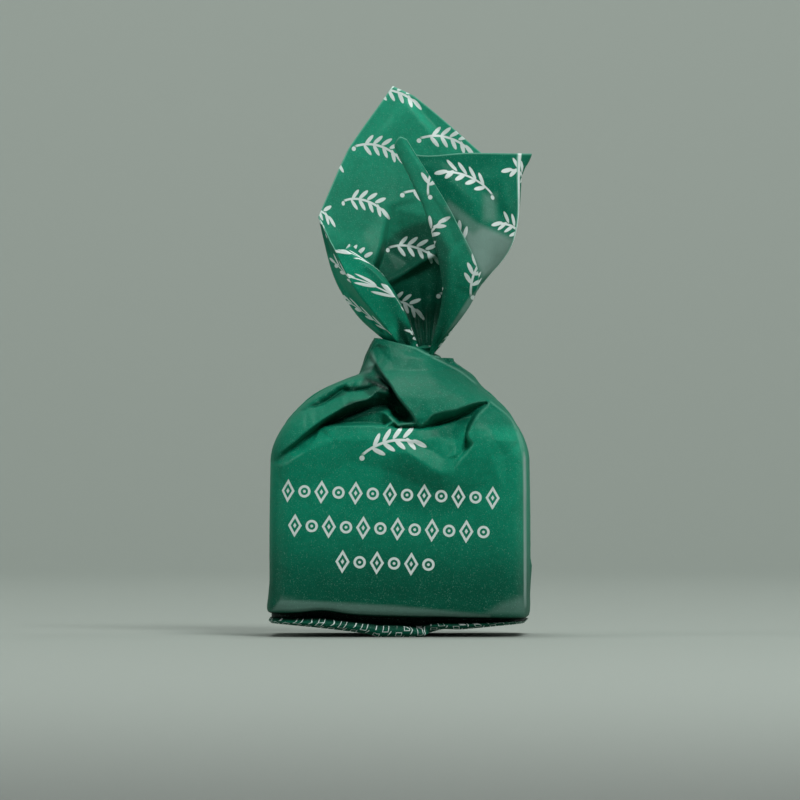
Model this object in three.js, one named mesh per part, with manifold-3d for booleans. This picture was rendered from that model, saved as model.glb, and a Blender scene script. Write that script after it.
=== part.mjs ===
// A wrapped chocolate truffle: a square sheet of waxed paper closed round a soft block of chocolate,
// twisted shut above it and left open in a flared crown. The shut pack below the twist is solid.
// Millimetres, +Z up, front towards -Y. The truffle stands on the flat middle of its folded base.

import * as THREE from 'three';
import { mergeVertices } from 'three/addons/utils/BufferGeometryUtils.js';
import Module from 'manifold-3d';

// ---- driving dimensions -------------------------------------------------------------------------

const PAPER = 0.5; // thickness of the crown's leaves, folded double in places

const BODY = {
  left: 14.75, right: 15.05, // half widths
  front: 13.5, back: 13.4, // half depths
  bulge: 0.12, // how far the walls swell half way up
  squareness: 5.2, // superellipse power of the plan
  shoulderSquareness: 2.5, // the same at the twist
  lean: 0.36, // how far the twist sits to the right
  leanZ: [27, 33], // between which heights the pack leans over
};

const BASE = {
  flatHalf: 2.6, // half width of the flat spot it stands on
  rise: 1.55, // how far the corners of the base curl up
  curl: 0.64, // power of that curl
  soleRings: [0.2, 0.5, 0.75, 0.965], // outlines across the sole, as shares of the walls' outline
  creaseScale: 0.945, // outline of the crease under the front panel
  creaseZ: 1.9,
  creaseCurl: 0.25, // share of the base's curl at the crease
  lipScale: 0.988,
  lipZ: 2.4, // lower edge of the panels that hang over the crease
  lipCurl: 0.1,
  lipHeight: 0.5, // how high the lip is rounded
  wallZ: 4.3, // where the panels stand upright
  flare: 0.35, // how far the left wall spreads at its foot
  flareZ: 7.0,
};

const SHOULDER = {
  z: 20.0, // where the walls start to round over
  leftHeight: 10.65, rightHeight: 11.7, depthHeight: 11.4, // rise of each side's dome
  power: 1.75, depthPower: 2.0,
};

const KNOT = {
  z: 31.9, // middle of the twist
  left: 4.2, right: 4.9, front: 4.4, back: 3.8,
  flare: { left: 0.3, right: 1.55, front: 0.9, back: 0.8 }, // widening downwards, mm per mm
  blend: 0.5, // how softly the twist grows out of the shoulders
  blendZ: [28, 30], // between which heights the shoulders turn into the twist
};

// The pinched paper at the bottom of the crown. Each ring has a radius and a height.
const PLUG = { x: 2.9, rings: [[2.6, 34.0], [1.5, 34.7], [1.05, 35.4]], topZ: 35.6 };

const GRID = { around: 64, sheetRows: 8, sheetColumns: 2 };

const BODY_ROWS = [7, 12, 17, 20, 21.5, 22.7, 23.6, 24.4, 25.2, 26, 26.8, 27.6, 28.4, 29.1, 29.8, 30.5,
  31.3, 32.2, 33.0, 33.6];

// ---- folds --------------------------------------------------------------------------------------
// A fold follows a path in the view of one side, as (across, z). `over` and `under` are the height and
// reach of its flanks, on the left and on the right of the path. Paths run so that the upper flank is
// `over`.

const FLANK = {
  edge: 1.3, // width of the step between the two flanks
  power: 1.3, // how fast a flank falls off
  taper: 0.2, endHeight: 0.15, // how a fold fades towards its ends
};
const SIDE_TURN = [0.12, 0.62]; // shares of a half width between which a side's own folds take over

const FRONT_FOLDS = [
  // the broad strip of paper that winds from the twist down to the right shoulder
  { name: 'twist_left_edge', path: [[-3.6, 32.6], [-2.2, 30.2], [-1.1, 28.9], [0.0, 27.1], [1.8, 24.5]],
    over: [1.1, 6.0], under: [-0.9, 2.6] },
  { name: 'twist_lower_edge', path: [[2.0, 24.3], [3.5, 25.0], [6.5, 25.8], [8.5, 26.7], [10.6, 27.1]],
    over: [0.9, 5.0], under: [-0.9, 3.2] },
  { name: 'twist_upper_edge', path: [[9.5, 27.7], [8.0, 29.3], [3.7, 31.8], [-0.1, 33.5]],
    over: [0.5, 3.0], under: [-0.3, 2.0] },
  // the pleats of the left shoulder
  { name: 'left_ridge', path: [[-14.0, 20.8], [-11.1, 22.9], [-8.0, 25.5], [-4.5, 26.9], [-2.4, 28.4]],
    over: [0.9, 2.4], under: [0.9, 1.5] },
  { name: 'left_pleat', path: [[-11.6, 25.6], [-8.2, 26.7], [-6.6, 27.9], [-4.3, 28.4]],
    over: [-0.6, 1.4], under: [-0.6, 1.2] },
  { name: 'left_valley', path: [[-13.9, 20.4], [-10.9, 22.7], [-8.9, 24.6], [-5.8, 25.7], [-0.7, 26.4]],
    over: [-0.9, 1.2], under: [-0.9, 1.6] },
  // the top edge of the front panel, and the corner where it turns to the right side
  { name: 'panel_top', path: [[-12.9, 21.0], [-9.0, 23.9], [0.0, 23.7], [4.6, 24.2], [7.7, 25.4]],
    over: [0.35, 1.4], under: [0.35, 5.0] },
  { name: 'right_facet', path: [[5.7, 18.5], [8.2, 22.0], [7.7, 23.2], [9.2, 25.6], [10.2, 26.8]],
    over: [-0.7, 2.6], under: [0.3, 3.0] },
];

const BACK_FOLDS = [
  { name: 'seam', path: [[-1.2, 2.6], [-1.0, 14.0], [-0.4, 27.0]], over: [0.0, 1.0], under: [0.35, 4.0] },
  { name: 'back_strip', path: [[-11.0, 23.0], [-5.0, 26.0], [-1.0, 30.5]], over: [0.9, 4.0],
    under: [-0.7, 3.0] },
  { name: 'back_pleat', path: [[2.0, 29.5], [6.5, 26.0], [12.5, 22.0]], over: [0.8, 2.4],
    under: [-0.7, 2.6] },
];

const SIDE_FOLDS = [
  { name: 'side_ridge', path: [[-10.5, 21.5], [-5.0, 25.0], [-1.5, 29.5]], over: [0.8, 2.6],
    under: [-0.6, 2.4] },
  { name: 'side_pleat', path: [[1.5, 29.0], [4.5, 25.5], [10.5, 21.0]], over: [0.7, 2.2],
    under: [-0.6, 2.2] },
];

// ---- the ribs of the crown ----------------------------------------------------------------------
// The crown is one strip of paper that starts with a narrow fold at the left front, passes behind as
// the tall back leaf, turns forward at the right and ends in a band folded over the front leaf. Each
// rib runs from the twist to the rim, through two points between.

const CROWN_RIBS = [
  { name: 'strip_tuck',
    points: [[2.3, -0.4, 33.4], [0.5, 0.2, 37.0], [-1.8, 1.2, 41.1], [-5.5, 1.8, 44.6]] },
  { name: 'strip_right',
    points: [[1.9, -1.8, 33.4], [0.6, -2.6, 36.3], [-1.9, -2.9, 40.5], [-6.3, -1.2, 44.1]] },
  { name: 'strip_left',
    points: [[1.1, -1.9, 33.2], [-1.7, -2.4, 34.9], [-5.3, -2.2, 40.0], [-7.4, -0.8, 44.1]] },
  { name: 'left_fold',
    points: [[1.4, 0.2, 33.3], [-4.5, 0.8, 36.4], [-6.9, 1.4, 40.4], [-9.3, 2.4, 47.9]] },
  { name: 'left_cut',
    points: [[1.9, 1.8, 33.5], [-0.9, 4.6, 39.5], [-3.9, 6.0, 45.7], [-5.9, 6.8, 55.8]] },
  { name: 'tip',
    points: [[2.7, 2.4, 33.5], [1.1, 6.0, 40.6], [-0.2, 8.0, 49.2], [-0.8, 9.4, 62.9]] },
  { name: 'back_crease',
    points: [[3.4, 2.4, 33.5], [4.2, 6.2, 40.6], [5.0, 8.2, 49.2], [1.3, 9.4, 62.0]] },
  { name: 'back_right',
    points: [[3.9, 2.0, 33.4], [6.4, 5.6, 40.1], [8.0, 7.4, 48.1], [9.2, 8.0, 55.2]] },
  { name: 'hidden_back',
    points: [[3.4, 1.0, 33.3], [8.0, 3.4, 39.5], [11.0, 4.6, 46.6], [12.4, 5.0, 54.2]] },
  { name: 'flick',
    points: [[3.4, 0.0, 33.3], [8.7, 0.4, 39.2], [12.4, 0.6, 45.6], [14.6, -0.4, 55.0]] },
  { name: 'leaf_right',
    points: [[3.3, -0.9, 33.2], [8.7, -1.4, 39.3], [12.5, -1.6, 45.2], [13.4, -1.9, 55.1]] },
  { name: 'leaf_middle',
    points: [[3.3, -1.7, 33.0], [8.3, -4.2, 39.3], [9.4, -5.2, 46.6], [7.8, -4.6, 55.1]] },
  { name: 'leaf_left',
    points: [[3.4, -2.0, 33.0], [5.7, -5.0, 39.3], [5.0, -6.0, 46.6], [1.4, -5.6, 55.0]] },
  { name: 'band_fold',
    points: [[3.3, -2.2, 32.9], [5.0, -5.7, 40.1], [3.4, -7.0, 47.3], [-0.5, -6.4, 56.0]] },
  { name: 'band_edge',
    points: [[3.3, -2.2, 33.0], [9.0, -6.2, 40.2], [6.3, -7.4, 47.5], [0.8, -7.0, 56.6]] },
];

const RIB_ROOT_DEPTH = 1.0; // how far the ribs reach down into the twist
const LEAF_OVERLAP = 0.2; // how far a leaf runs past its ribs
const WELD = 1e-4; // points nearer than this are one
const SLIVER = 0.05; // joined facets narrower than this are merged

// ---- small helpers ------------------------------------------------------------------------------

const clamp = (value, low, high) => Math.min(high, Math.max(low, value));
const mix = (a, b, t) => a + (b - a) * t;
const ease = (t) => {
  const s = clamp(t, 0, 1);
  return s * s * (3 - 2 * s);
};
const rise = (value, [from, to]) => ease((value - from) / (to - from));
const softMax = (a, b, width) => (a + b + Math.hypot(a - b, width)) / 2;

// ---- the body -----------------------------------------------------------------------------------

// Half extent of a wall that rounds over at the shoulder and ends in the twist.
function wallExtent(z, half, height, power, knotHalf, knotFlare) {
  const rounded = clamp((z - SHOULDER.z) / height, 0, 1);
  const dome = half * (1 - rounded ** power) ** (1 / power);
  const knot = Math.max(knotHalf + knotFlare * (KNOT.z - z), 0);
  return mix(dome, softMax(dome, knot, KNOT.blend), rise(z, KNOT.blendZ));
}

// The plan at height z: four half extents, the middle's place and the squareness.
function planAt(z) {
  const swell = BODY.bulge * Math.sin(Math.PI * clamp(z / SHOULDER.z, 0, 1));
  const spread = BASE.flare * ease((BASE.flareZ - z) / (BASE.flareZ - BASE.lipZ));
  const up = clamp((z - SHOULDER.z) / (KNOT.z - SHOULDER.z), 0, 1);
  const wall = (side, foot, height, power) =>
    wallExtent(z, BODY[side] + swell + foot, height, power, KNOT[side], KNOT.flare[side]);
  return {
    left: wall('left', spread, SHOULDER.leftHeight, SHOULDER.power),
    right: wall('right', 0, SHOULDER.rightHeight, SHOULDER.power),
    front: wall('front', 0, SHOULDER.depthHeight, SHOULDER.depthPower),
    back: wall('back', 0, SHOULDER.depthHeight, SHOULDER.depthPower),
    squareness: mix(BODY.squareness, BODY.shoulderSquareness, ease(up)),
  };
}

// Distance from the axis to the superellipse plan in the direction `angle`.
function planRadius(plan, angle) {
  const c = Math.cos(angle);
  const s = Math.sin(angle);
  const across = Math.abs(c) / (c < 0 ? plan.left : plan.right);
  const along = Math.abs(s) / (s < 0 ? plan.front : plan.back);
  return (across ** plan.squareness + along ** plan.squareness) ** (-1 / plan.squareness);
}

// How a flank falls off with distance, in fractions of its reach.
const flank = (distance, reach) => Math.max(0, 1 - distance / reach) ** FLANK.power;

// Height that one fold adds at (across, z).
function foldHeight(fold, across, z) {
  let nearest = { distance: Infinity, side: 0, along: 0 };
  const last = fold.path.length - 1;
  for (let i = 0; i < last; i += 1) {
    const [ax, az] = fold.path[i];
    const [bx, bz] = fold.path[i + 1];
    const dx = bx - ax;
    const dz = bz - az;
    const t = clamp(((across - ax) * dx + (z - az) * dz) / (dx * dx + dz * dz), 0, 1);
    const distance = Math.hypot(across - ax - t * dx, z - az - t * dz);
    if (distance < nearest.distance) {
      nearest = { distance, side: Math.sign(dx * (z - az) - dz * (across - ax)), along: (i + t) / last };
    }
  }
  const signed = nearest.distance * nearest.side;
  const overShare = ease(0.5 + signed / FLANK.edge);
  const over = fold.over[0] * flank(Math.max(signed, 0), fold.over[1]);
  const under = fold.under[0] * flank(Math.max(-signed, 0), fold.under[1]);
  const taper = ease(nearest.along / FLANK.taper) * ease((1 - nearest.along) / FLANK.taper);
  return mix(under, over, overShare) * mix(FLANK.endHeight, 1, taper);
}

const foldSum = (folds, across, z) => folds.reduce((sum, fold) => sum + foldHeight(fold, across, z), 0);

// Pushes a point of the smooth body out along the axis that it faces.
function addFolds([x, y, z], plan) {
  const towards = (value, half) => rise(value / half, SIDE_TURN);
  const front = towards(-y, plan.front);
  const back = towards(y, plan.back);
  const left = towards(-x, plan.left) * (1 - front) * (1 - back);
  const right = towards(x, plan.right) * (1 - front) * (1 - back);
  return [
    x - left * foldSum(SIDE_FOLDS, -y, z) + right * foldSum(SIDE_FOLDS, y, z),
    y - front * foldSum(FRONT_FOLDS, x, z) + back * foldSum(BACK_FOLDS, -x, z),
    z,
  ];
}

// The curl of the base: flat in the middle, rising to the left and right corners.
function soleHeight(x) {
  const beyond = Math.max(0, Math.abs(x) - BASE.flatHalf) / (BODY.right - BASE.flatHalf);
  return BASE.rise * beyond ** BASE.curl;
}

// One closed ring of points at height z, scaled about the axis. `curl` is its share of the base's curl.
function ringAt(z, scale = 1, curl = 0) {
  const plan = planAt(z);
  const shift = BODY.lean * rise(z, BODY.leanZ);
  return Array.from({ length: GRID.around }, (_, i) => {
    const angle = (2 * Math.PI * i) / GRID.around;
    const radius = planRadius(plan, angle) * scale;
    const x = radius * Math.cos(angle);
    const y = radius * Math.sin(angle);
    const [fx, fy, fz] = z > BASE.wallZ ? addFolds([x, y, z], plan) : [x, y, z];
    return [fx + shift, fy, fz + curl * soleHeight(x)];
  });
}

function plugRing([radius, z]) {
  return Array.from({ length: GRID.around }, (_, i) => {
    const angle = (2 * Math.PI * i) / GRID.around;
    return [PLUG.x + radius * Math.cos(angle), radius * Math.sin(angle), z];
  });
}

function bodyGeometry() {
  const rings = [
    ...BASE.soleRings.map((scale) => ringAt(0, scale, 1)),
    ringAt(BASE.creaseZ, BASE.creaseScale, BASE.creaseCurl),
    ringAt(BASE.lipZ, BASE.lipScale, BASE.lipCurl),
    ringAt(BASE.lipZ + BASE.lipHeight),
    ringAt(BASE.wallZ),
    ...BODY_ROWS.map((z) => ringAt(z)),
    ...PLUG.rings.map(plugRing),
  ];
  return loftGeometry(rings, [0, 0, 0], [PLUG.x, 0, PLUG.topZ]);
}

// A closed skin over a stack of rings, with a pole at each end. Rings run anticlockwise from above.
function loftGeometry(rings, bottom, top) {
  const count = rings[0].length;
  const points = [bottom, ...rings.flat(), top];
  const faces = [];
  const at = (ring, i) => 1 + ring * count + (i % count);
  const lastPoint = points.length - 1;
  for (let i = 0; i < count; i += 1) {
    faces.push(0, at(0, i + 1), at(0, i));
    for (let ring = 0; ring < rings.length - 1; ring += 1) {
      faces.push(at(ring, i), at(ring, i + 1), at(ring + 1, i + 1));
      faces.push(at(ring, i), at(ring + 1, i + 1), at(ring + 1, i));
    }
    faces.push(at(rings.length - 1, i), at(rings.length - 1, i + 1), lastPoint);
  }
  const geometry = new THREE.BufferGeometry();
  geometry.setAttribute('position', new THREE.Float32BufferAttribute(points.flat(), 3));
  geometry.setIndex(faces);
  return geometry;
}

// ---- the crown ----------------------------------------------------------------------------------

// A rib as a smooth curve, rooted inside the twist.
function ribCurve(rib) {
  const points = rib.points.map((p) => new THREE.Vector3(...p));
  points[0].z -= RIB_ROOT_DEPTH;
  return new THREE.CatmullRomCurve3(points, false, 'centripetal');
}

// The leaf between two ribs, thickened to both sides. It runs a little past its ribs, into the next
// leaves.
function leafGeometry(from, to) {
  const rows = GRID.sheetRows;
  const columns = GRID.sheetColumns;
  const middle = [];
  for (let row = 0; row <= rows; row += 1) {
    const a = from.getPoint(row / rows);
    const b = to.getPoint(row / rows);
    const margin = LEAF_OVERLAP / Math.max(a.distanceTo(b), PAPER);
    for (let column = 0; column <= columns; column += 1) {
      middle.push(a.clone().lerp(b, mix(-margin, 1 + margin, column / columns)));
    }
  }
  const at = (row, column) => middle[clamp(row, 0, rows) * (columns + 1) + clamp(column, 0, columns)];
  const points = [];
  for (const side of [1, -1]) {
    for (let row = 0; row <= rows; row += 1) {
      for (let column = 0; column <= columns; column += 1) {
        const along = at(row + 1, column).clone().sub(at(row - 1, column));
        const across = at(row, column + 1).clone().sub(at(row, column - 1));
        const normal = across.cross(along).normalize();
        points.push(at(row, column).clone().addScaledVector(normal, (side * PAPER) / 2));
      }
    }
  }
  return slabGeometry(points, rows, columns);
}

// A closed slab from two grids of points, the outer one first.
function slabGeometry(points, rows, columns) {
  const across = columns + 1;
  const layer = (rows + 1) * across;
  const faces = [];
  const quad = (a, b, c, d) => faces.push(a, b, c, a, c, d);
  for (let row = 0; row < rows; row += 1) {
    for (let column = 0; column < columns; column += 1) {
      const a = row * across + column;
      quad(a, a + 1, a + 1 + across, a + across);
      quad(layer + a, layer + a + across, layer + a + 1 + across, layer + a + 1);
    }
    const left = row * across;
    const right = left + columns;
    quad(left, left + across, layer + left + across, layer + left);
    quad(right, layer + right, layer + right + across, right + across);
  }
  for (let column = 0; column < columns; column += 1) {
    const top = rows * across + column;
    quad(column, layer + column, layer + column + 1, column + 1);
    quad(top, top + 1, layer + top + 1, layer + top);
  }
  const geometry = new THREE.BufferGeometry();
  const flat = points.flatMap((point) => point.toArray());
  geometry.setAttribute('position', new THREE.Float32BufferAttribute(flat, 3));
  geometry.setIndex(faces);
  return geometry;
}

// ---- one solid ----------------------------------------------------------------------------------

const wasm = await Module();
wasm.setup();

function toSolid(geometry) {
  const merged = mergeVertices(geometry, WELD);
  const mesh = new wasm.Mesh({
    numProp: 3,
    vertProperties: new Float32Array(merged.attributes.position.array),
    triVerts: new Uint32Array(merged.index.array),
  });
  return new wasm.Manifold(mesh);
}

function toGeometry(solid) {
  const mesh = solid.getMesh();
  const geometry = new THREE.BufferGeometry();
  geometry.setAttribute('position', new THREE.Float32BufferAttribute(mesh.vertProperties, 3));
  geometry.setIndex(new THREE.Uint32BufferAttribute(mesh.triVerts, 1));
  return geometry;
}

function wrapperGeometry() {
  const curves = CROWN_RIBS.map(ribCurve);
  let solid = toSolid(bodyGeometry());
  for (let i = 0; i < curves.length - 1; i += 1) {
    solid = solid.add(toSolid(leafGeometry(curves[i], curves[i + 1])));
  }
  return toGeometry(solid.simplify(SLIVER));
}

const paper = new THREE.MeshStandardMaterial({ color: 0x0c6e54, roughness: 0.45, metalness: 0 });
const wrapper = new THREE.Mesh(wrapperGeometry(), paper);
wrapper.name = 'wrapper';

// The middle of the footprint is the origin.
wrapper.geometry.computeBoundingBox();
const middle = wrapper.geometry.boundingBox.getCenter(new THREE.Vector3());
wrapper.position.set(-middle.x, -middle.y, 0);

const truffle = new THREE.Group();
truffle.add(wrapper);

export default truffle;
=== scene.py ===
"""A wrapped chocolate truffle: the dressed wrapper, its printed waxed paper, and the studio round it.

The wrapper is one sheet of waxed paper. Its shut pack is a block with rounded shoulders, pleats and a
broad strip that winds up to the twist. Above the twist the same sheet opens in a flared crown. Sizes
are in millimetres until a mesh is made, with -Y towards the viewer and +Z up.
"""

import logging
import math
from dataclasses import dataclass, field
from enum import Enum

import bpy
import numpy as np
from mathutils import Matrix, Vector
from mathutils.geometry import delaunay_2d_cdt


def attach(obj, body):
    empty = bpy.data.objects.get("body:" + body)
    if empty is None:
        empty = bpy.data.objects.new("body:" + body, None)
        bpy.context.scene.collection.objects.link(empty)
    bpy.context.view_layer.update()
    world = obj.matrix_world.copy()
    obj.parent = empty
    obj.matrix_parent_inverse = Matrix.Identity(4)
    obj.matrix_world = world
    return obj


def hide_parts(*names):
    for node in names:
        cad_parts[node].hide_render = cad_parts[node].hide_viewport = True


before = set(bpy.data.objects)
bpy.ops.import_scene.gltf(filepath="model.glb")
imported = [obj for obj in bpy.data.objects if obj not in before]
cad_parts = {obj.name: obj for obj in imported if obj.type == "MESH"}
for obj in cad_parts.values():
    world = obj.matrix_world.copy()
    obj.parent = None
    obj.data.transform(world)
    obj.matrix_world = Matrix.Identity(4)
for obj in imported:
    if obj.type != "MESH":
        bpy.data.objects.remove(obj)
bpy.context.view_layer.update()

LOG = logging.getLogger("truffle")
MM = 0.001
BODY_NAME = "root"
NODE = "wrapper"
# Attributes of the paper: its place on the sheet, a painted highlight along creases and cut edges, a painted
# grey sheen, and painted light and shade that lighten or darken the green.
SHEET, PAINTED_HIGHLIGHT, PAINTED_SHEEN, PAINTED_SHADING = "sheet", "painted_highlight", "painted_sheen", "painted_shading"
PAINTED_HIGHLIGHT_TAPER = (0.08, 0.08)

Array = np.ndarray
Point2 = tuple[float, float]
Point3 = tuple[float, float, float]
Tint = tuple[int, int, int]


# ---- small sums ---------------------------------------------------------------------------------


def between(value: Array, low: float | Array, high: float | Array) -> Array:
    """Returns the smooth step of value, 0 at low and 1 at high."""
    s = np.clip((value - low) / (high - low), 0.0, 1.0)
    return s * s * (3.0 - 2.0 * s)


def mix(a: Array | float, b: Array | float, t: Array | float) -> Array | float:
    """Returns the blend from a to b by t."""
    return a + (b - a) * t


def hump(value: Array, middle: float, width: float) -> Array:
    """Returns a smooth hump, 1 in the middle."""
    return np.exp(-(((value - middle) / width) ** 2))


def soft_max(a: Array, b: Array, width: float) -> Array:
    """Returns the larger of a and b, rounded over `width` where they meet."""
    return (a + b + np.hypot(a - b, width)) / 2.0


def triangle_wave(t: Array) -> Array:
    """Returns a wave of straight flanks between -1 and 1, with a period of 1."""
    return 4.0 * np.abs(t - np.round(t)) - 1.0


def cubic(a: Array, b: Array, start: Array, end: Array, w: Array | float) -> Array:
    """Returns the point at share w of the curve from a to b, with its slopes at start and end."""
    return a + start * w + (-3 * a + 3 * b - 2 * start - end) * w**2 + (2 * a - 2 * b + start + end) * w**3


def smooth_path(points: tuple[Point2, ...], steps: int = 5) -> Array:
    """Rounds a path off.

    Args:
        points: the corners that the path passes through.
        steps: how many pieces each stretch is split into.

    Returns:
        The points of the rounded path, one a row.
    """
    corners = np.array(points, dtype=float)
    if len(corners) < 3:
        return corners
    ends = [2 * corners[0] - corners[1], *corners, 2 * corners[-1] - corners[-2]]
    rounded = [cubic(b, c, (c - a) / 2, (d - b) / 2, t)
               for a, b, c, d in zip(ends, ends[1:], ends[2:], ends[3:])
               for t in np.arange(steps) / steps]
    return np.array([*rounded, corners[-1]])


# ---- folds and creases --------------------------------------------------------------------------


@dataclass(frozen=True)
class Fold:
    """A crease, pleat or overlapping edge that follows a path over one side of the pack.

    `over` and `under` give the height and the reach of its flanks, on the left and on the right of
    the path. `edge` is the width of the step between them. `light` is the strength of the painted
    highlight along it, over `line` on each side.
    """

    name: str
    path: tuple[Point2, ...]
    over: Point2 = (0.0, 1.0)
    under: Point2 = (0.0, 1.0)
    edge: float = 1.2
    taper: Point2 = (0.2, 0.2)
    light: float = 0.0
    power: float = 1.3
    line: float = 0.16

    def locate(self, across: Array, z: Array) -> tuple[Array, Array]:
        """Finds where points lie against the path.

        Args:
            across: the points' places across this side.
            z: their heights.

        Returns:
            The signed distance, positive on the left of the path, and the fold's strength there.
        """
        path = smooth_path(self.path)
        best = np.full(across.shape, np.inf)
        signed = np.zeros(across.shape)
        along = np.zeros(across.shape)
        stretches = len(path) - 1
        for i in range(stretches):
            (ax, az), (bx, bz) = path[i], path[i + 1]
            dx, dz = bx - ax, bz - az
            length = math.hypot(dx, dz)
            t = np.clip(((across - ax) * dx + (z - az) * dz) / length**2, 0.0, 1.0)
            distance = np.hypot(across - ax - t * dx, z - az - t * dz)
            offset = (dx * (z - az) - dz * (across - ax)) / length
            rank = distance - 1e-4 * np.abs(offset)
            nearer = rank < best
            best = np.where(nearer, rank, best)
            signed = np.where(nearer, np.copysign(distance, offset), signed)
            along = np.where(nearer, (i + t) / stretches, along)
        start, end = self.taper
        return signed, between(along, 0.0, start) * between(along, 1.0, 1.0 - end)

    def height(self, across: Array, z: Array) -> Array:
        """Returns the height that the fold adds at each point.

        Args:
            across: how far each point lies across the fold.
            z: heights in millimetres.

        Returns:
            The added height at each point.
        """
        signed, strength = self.locate(across, z)
        over = self.over[0] * np.maximum(0, 1 - np.maximum(signed, 0) / self.over[1]) ** self.power
        under = self.under[0] * np.maximum(0, 1 - np.maximum(-signed, 0) / self.under[1]) ** self.power
        return mix(under, over, between(signed, -self.edge / 2, self.edge / 2)) * strength

    def painted_highlight(self, across: Array, z: Array) -> Array:
        """Returns the painted highlight along the fold at each point.

        Args:
            across: how far each point lies across the fold.
            z: heights in millimetres.

        Returns:
            The painted highlight, from 0 to 1.
        """
        if not self.light:
            return np.zeros(across.shape)
        signed, strength = self.locate(across, z)
        return self.light * np.maximum(0, 1 - np.abs(signed) / self.line) * strength


@dataclass(frozen=True)
class Crease:
    """A ridge, valley or edge: points across and up it, each with how far it stands out.

    `light` is the strength of the painted highlight along it.
    """

    name: str
    points: tuple[Point3, ...]
    light: float = 0.0


@dataclass(frozen=True)
class Relief:
    """Flat facets of paper stretched between creases.

    `rest` are the places where the paper lies on its smooth form. `softness` is how far the paper
    rounds over a crease, and `taps` how many readings that takes.
    """

    creases: tuple[Crease, ...]
    rest: tuple[Point2, ...]
    softness: float = 0.09
    taps: int = 6

    def facets(self) -> Array:
        """Stretches triangles between the creases.

        Returns:
            Three corners for each triangle, each with its height.
        """
        corners: list[Point3] = [(x, z, 0.0) for x, z in self.rest]
        number: dict[Point2, int] = {}
        edges = []
        for crease in self.creases:
            for x, z, height in crease.points:
                if (x, z) not in number:
                    number[(x, z)] = len(corners)
                    corners.append((x, z, height))
            chain = [number[(x, z)] for x, z, _ in crease.points]
            edges.extend(zip(chain, chain[1:]))
        places = [Vector((x, z)) for x, z, _ in corners]
        found = delaunay_2d_cdt(places, edges, [], 0, 1e-6)
        if len(found[0]) != len(corners):
            raise ValueError("two creases cross")
        order = [origins[0] for origins in found[3]]
        return np.array(corners)[[[order[i] for i in face] for face in found[2]]]

    def at(self, x: Array, z: Array) -> Array:
        """Returns how far the paper stands out at places (x, z), rounded over each crease.

        Args:
            x: places across, in millimetres.
            z: heights in millimetres.

        Returns:
            The height at each place.
        """
        facets = self.facets()
        turns = math.tau * np.arange(self.taps) / self.taps
        soft = self.softness
        return sum(self.sample(facets, x + soft * math.cos(turn), z + soft * math.sin(turn))
                   for turn in turns) / self.taps

    def sample(self, facets: Array, x: Array, z: Array) -> Array:
        """Reads the height of the facets.

        Args:
            facets: three corners for each triangle.
            x: places across.
            z: places up.

        Returns:
            The height at each place, 0 outside the facets.
        """
        height = np.zeros(x.shape)
        for a, b, c in facets:
            low, high = np.min([a, b, c], axis=0), np.max([a, b, c], axis=0)
            near = (x >= low[0]) & (x <= high[0]) & (z >= low[1]) & (z <= high[1])
            area = (b[0] - a[0]) * (c[1] - a[1]) - (b[1] - a[1]) * (c[0] - a[0])
            if abs(area) < 1e-9 or not near.any():
                continue
            px, pz = x[near], z[near]
            wb = ((px - a[0]) * (c[1] - a[1]) - (pz - a[1]) * (c[0] - a[0])) / area
            wc = ((b[0] - a[0]) * (pz - a[1]) - (b[1] - a[1]) * (px - a[0])) / area
            inside = (wb >= -1e-9) & (wc >= -1e-9) & (wb + wc <= 1 + 1e-9)
            value = a[2] * (1 - wb - wc) + b[2] * wb + c[2] * wc
            height[near] = np.where(inside, value, height[near])
        return height

    def painted_highlight(self, x: Array, z: Array) -> Array:
        """Returns the painted highlight along the creases at (x, z)."""
        lines = [Fold(crease.name, tuple(point[:2] for point in crease.points), light=crease.light,
                      taper=PAINTED_HIGHLIGHT_TAPER) for crease in self.creases if crease.light]
        return np.maximum.reduce([line.painted_highlight(x, z) for line in lines])


@dataclass(frozen=True)
class Patch:
    """A stretch of paper, seen from the front, on which a grey sheen, light or shade is painted.

    `outline` are its corners, anticlockwise. `value` is how grey the painted sheen makes it, or how
    much lighter or darker its green is painted.
    """

    outline: tuple[Point2, ...]
    value: float
    softness: float = 0.4

    def over(self, base: Array, x: Array, z: Array) -> Array:
        """Returns `base` with the patch laid over it, at each place.

        Args:
            base: the values under the patch.
            x: places across, in millimetres.
            z: heights in millimetres.

        Returns:
            The values with the patch over them.
        """
        inside = np.full(x.shape, np.inf)
        for (ax, az), (bx, bz) in zip(self.outline, self.outline[1:] + self.outline[:1]):
            offset = ((bx - ax) * (z - az) - (bz - az) * (x - ax)) / math.hypot(bx - ax, bz - az)
            inside = np.minimum(inside, offset)
        return mix(base, self.value, between(inside, -self.softness / 2, self.softness / 2))


def patched(base: Array, patches: tuple[Patch, ...], x: Array, z: Array) -> Array:
    """Returns `base` with each patch laid over it in turn."""
    for patch in patches:
        base = patch.over(base, x, z)
    return base


@dataclass(frozen=True)
class Profile:
    """A value that changes with height: pairs of height and value."""

    steps: tuple[Point2, ...]

    def at(self, z: Array) -> Array:
        """Returns the value at each height."""
        heights, values = zip(*self.steps)
        return np.interp(z, heights, values)


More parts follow.
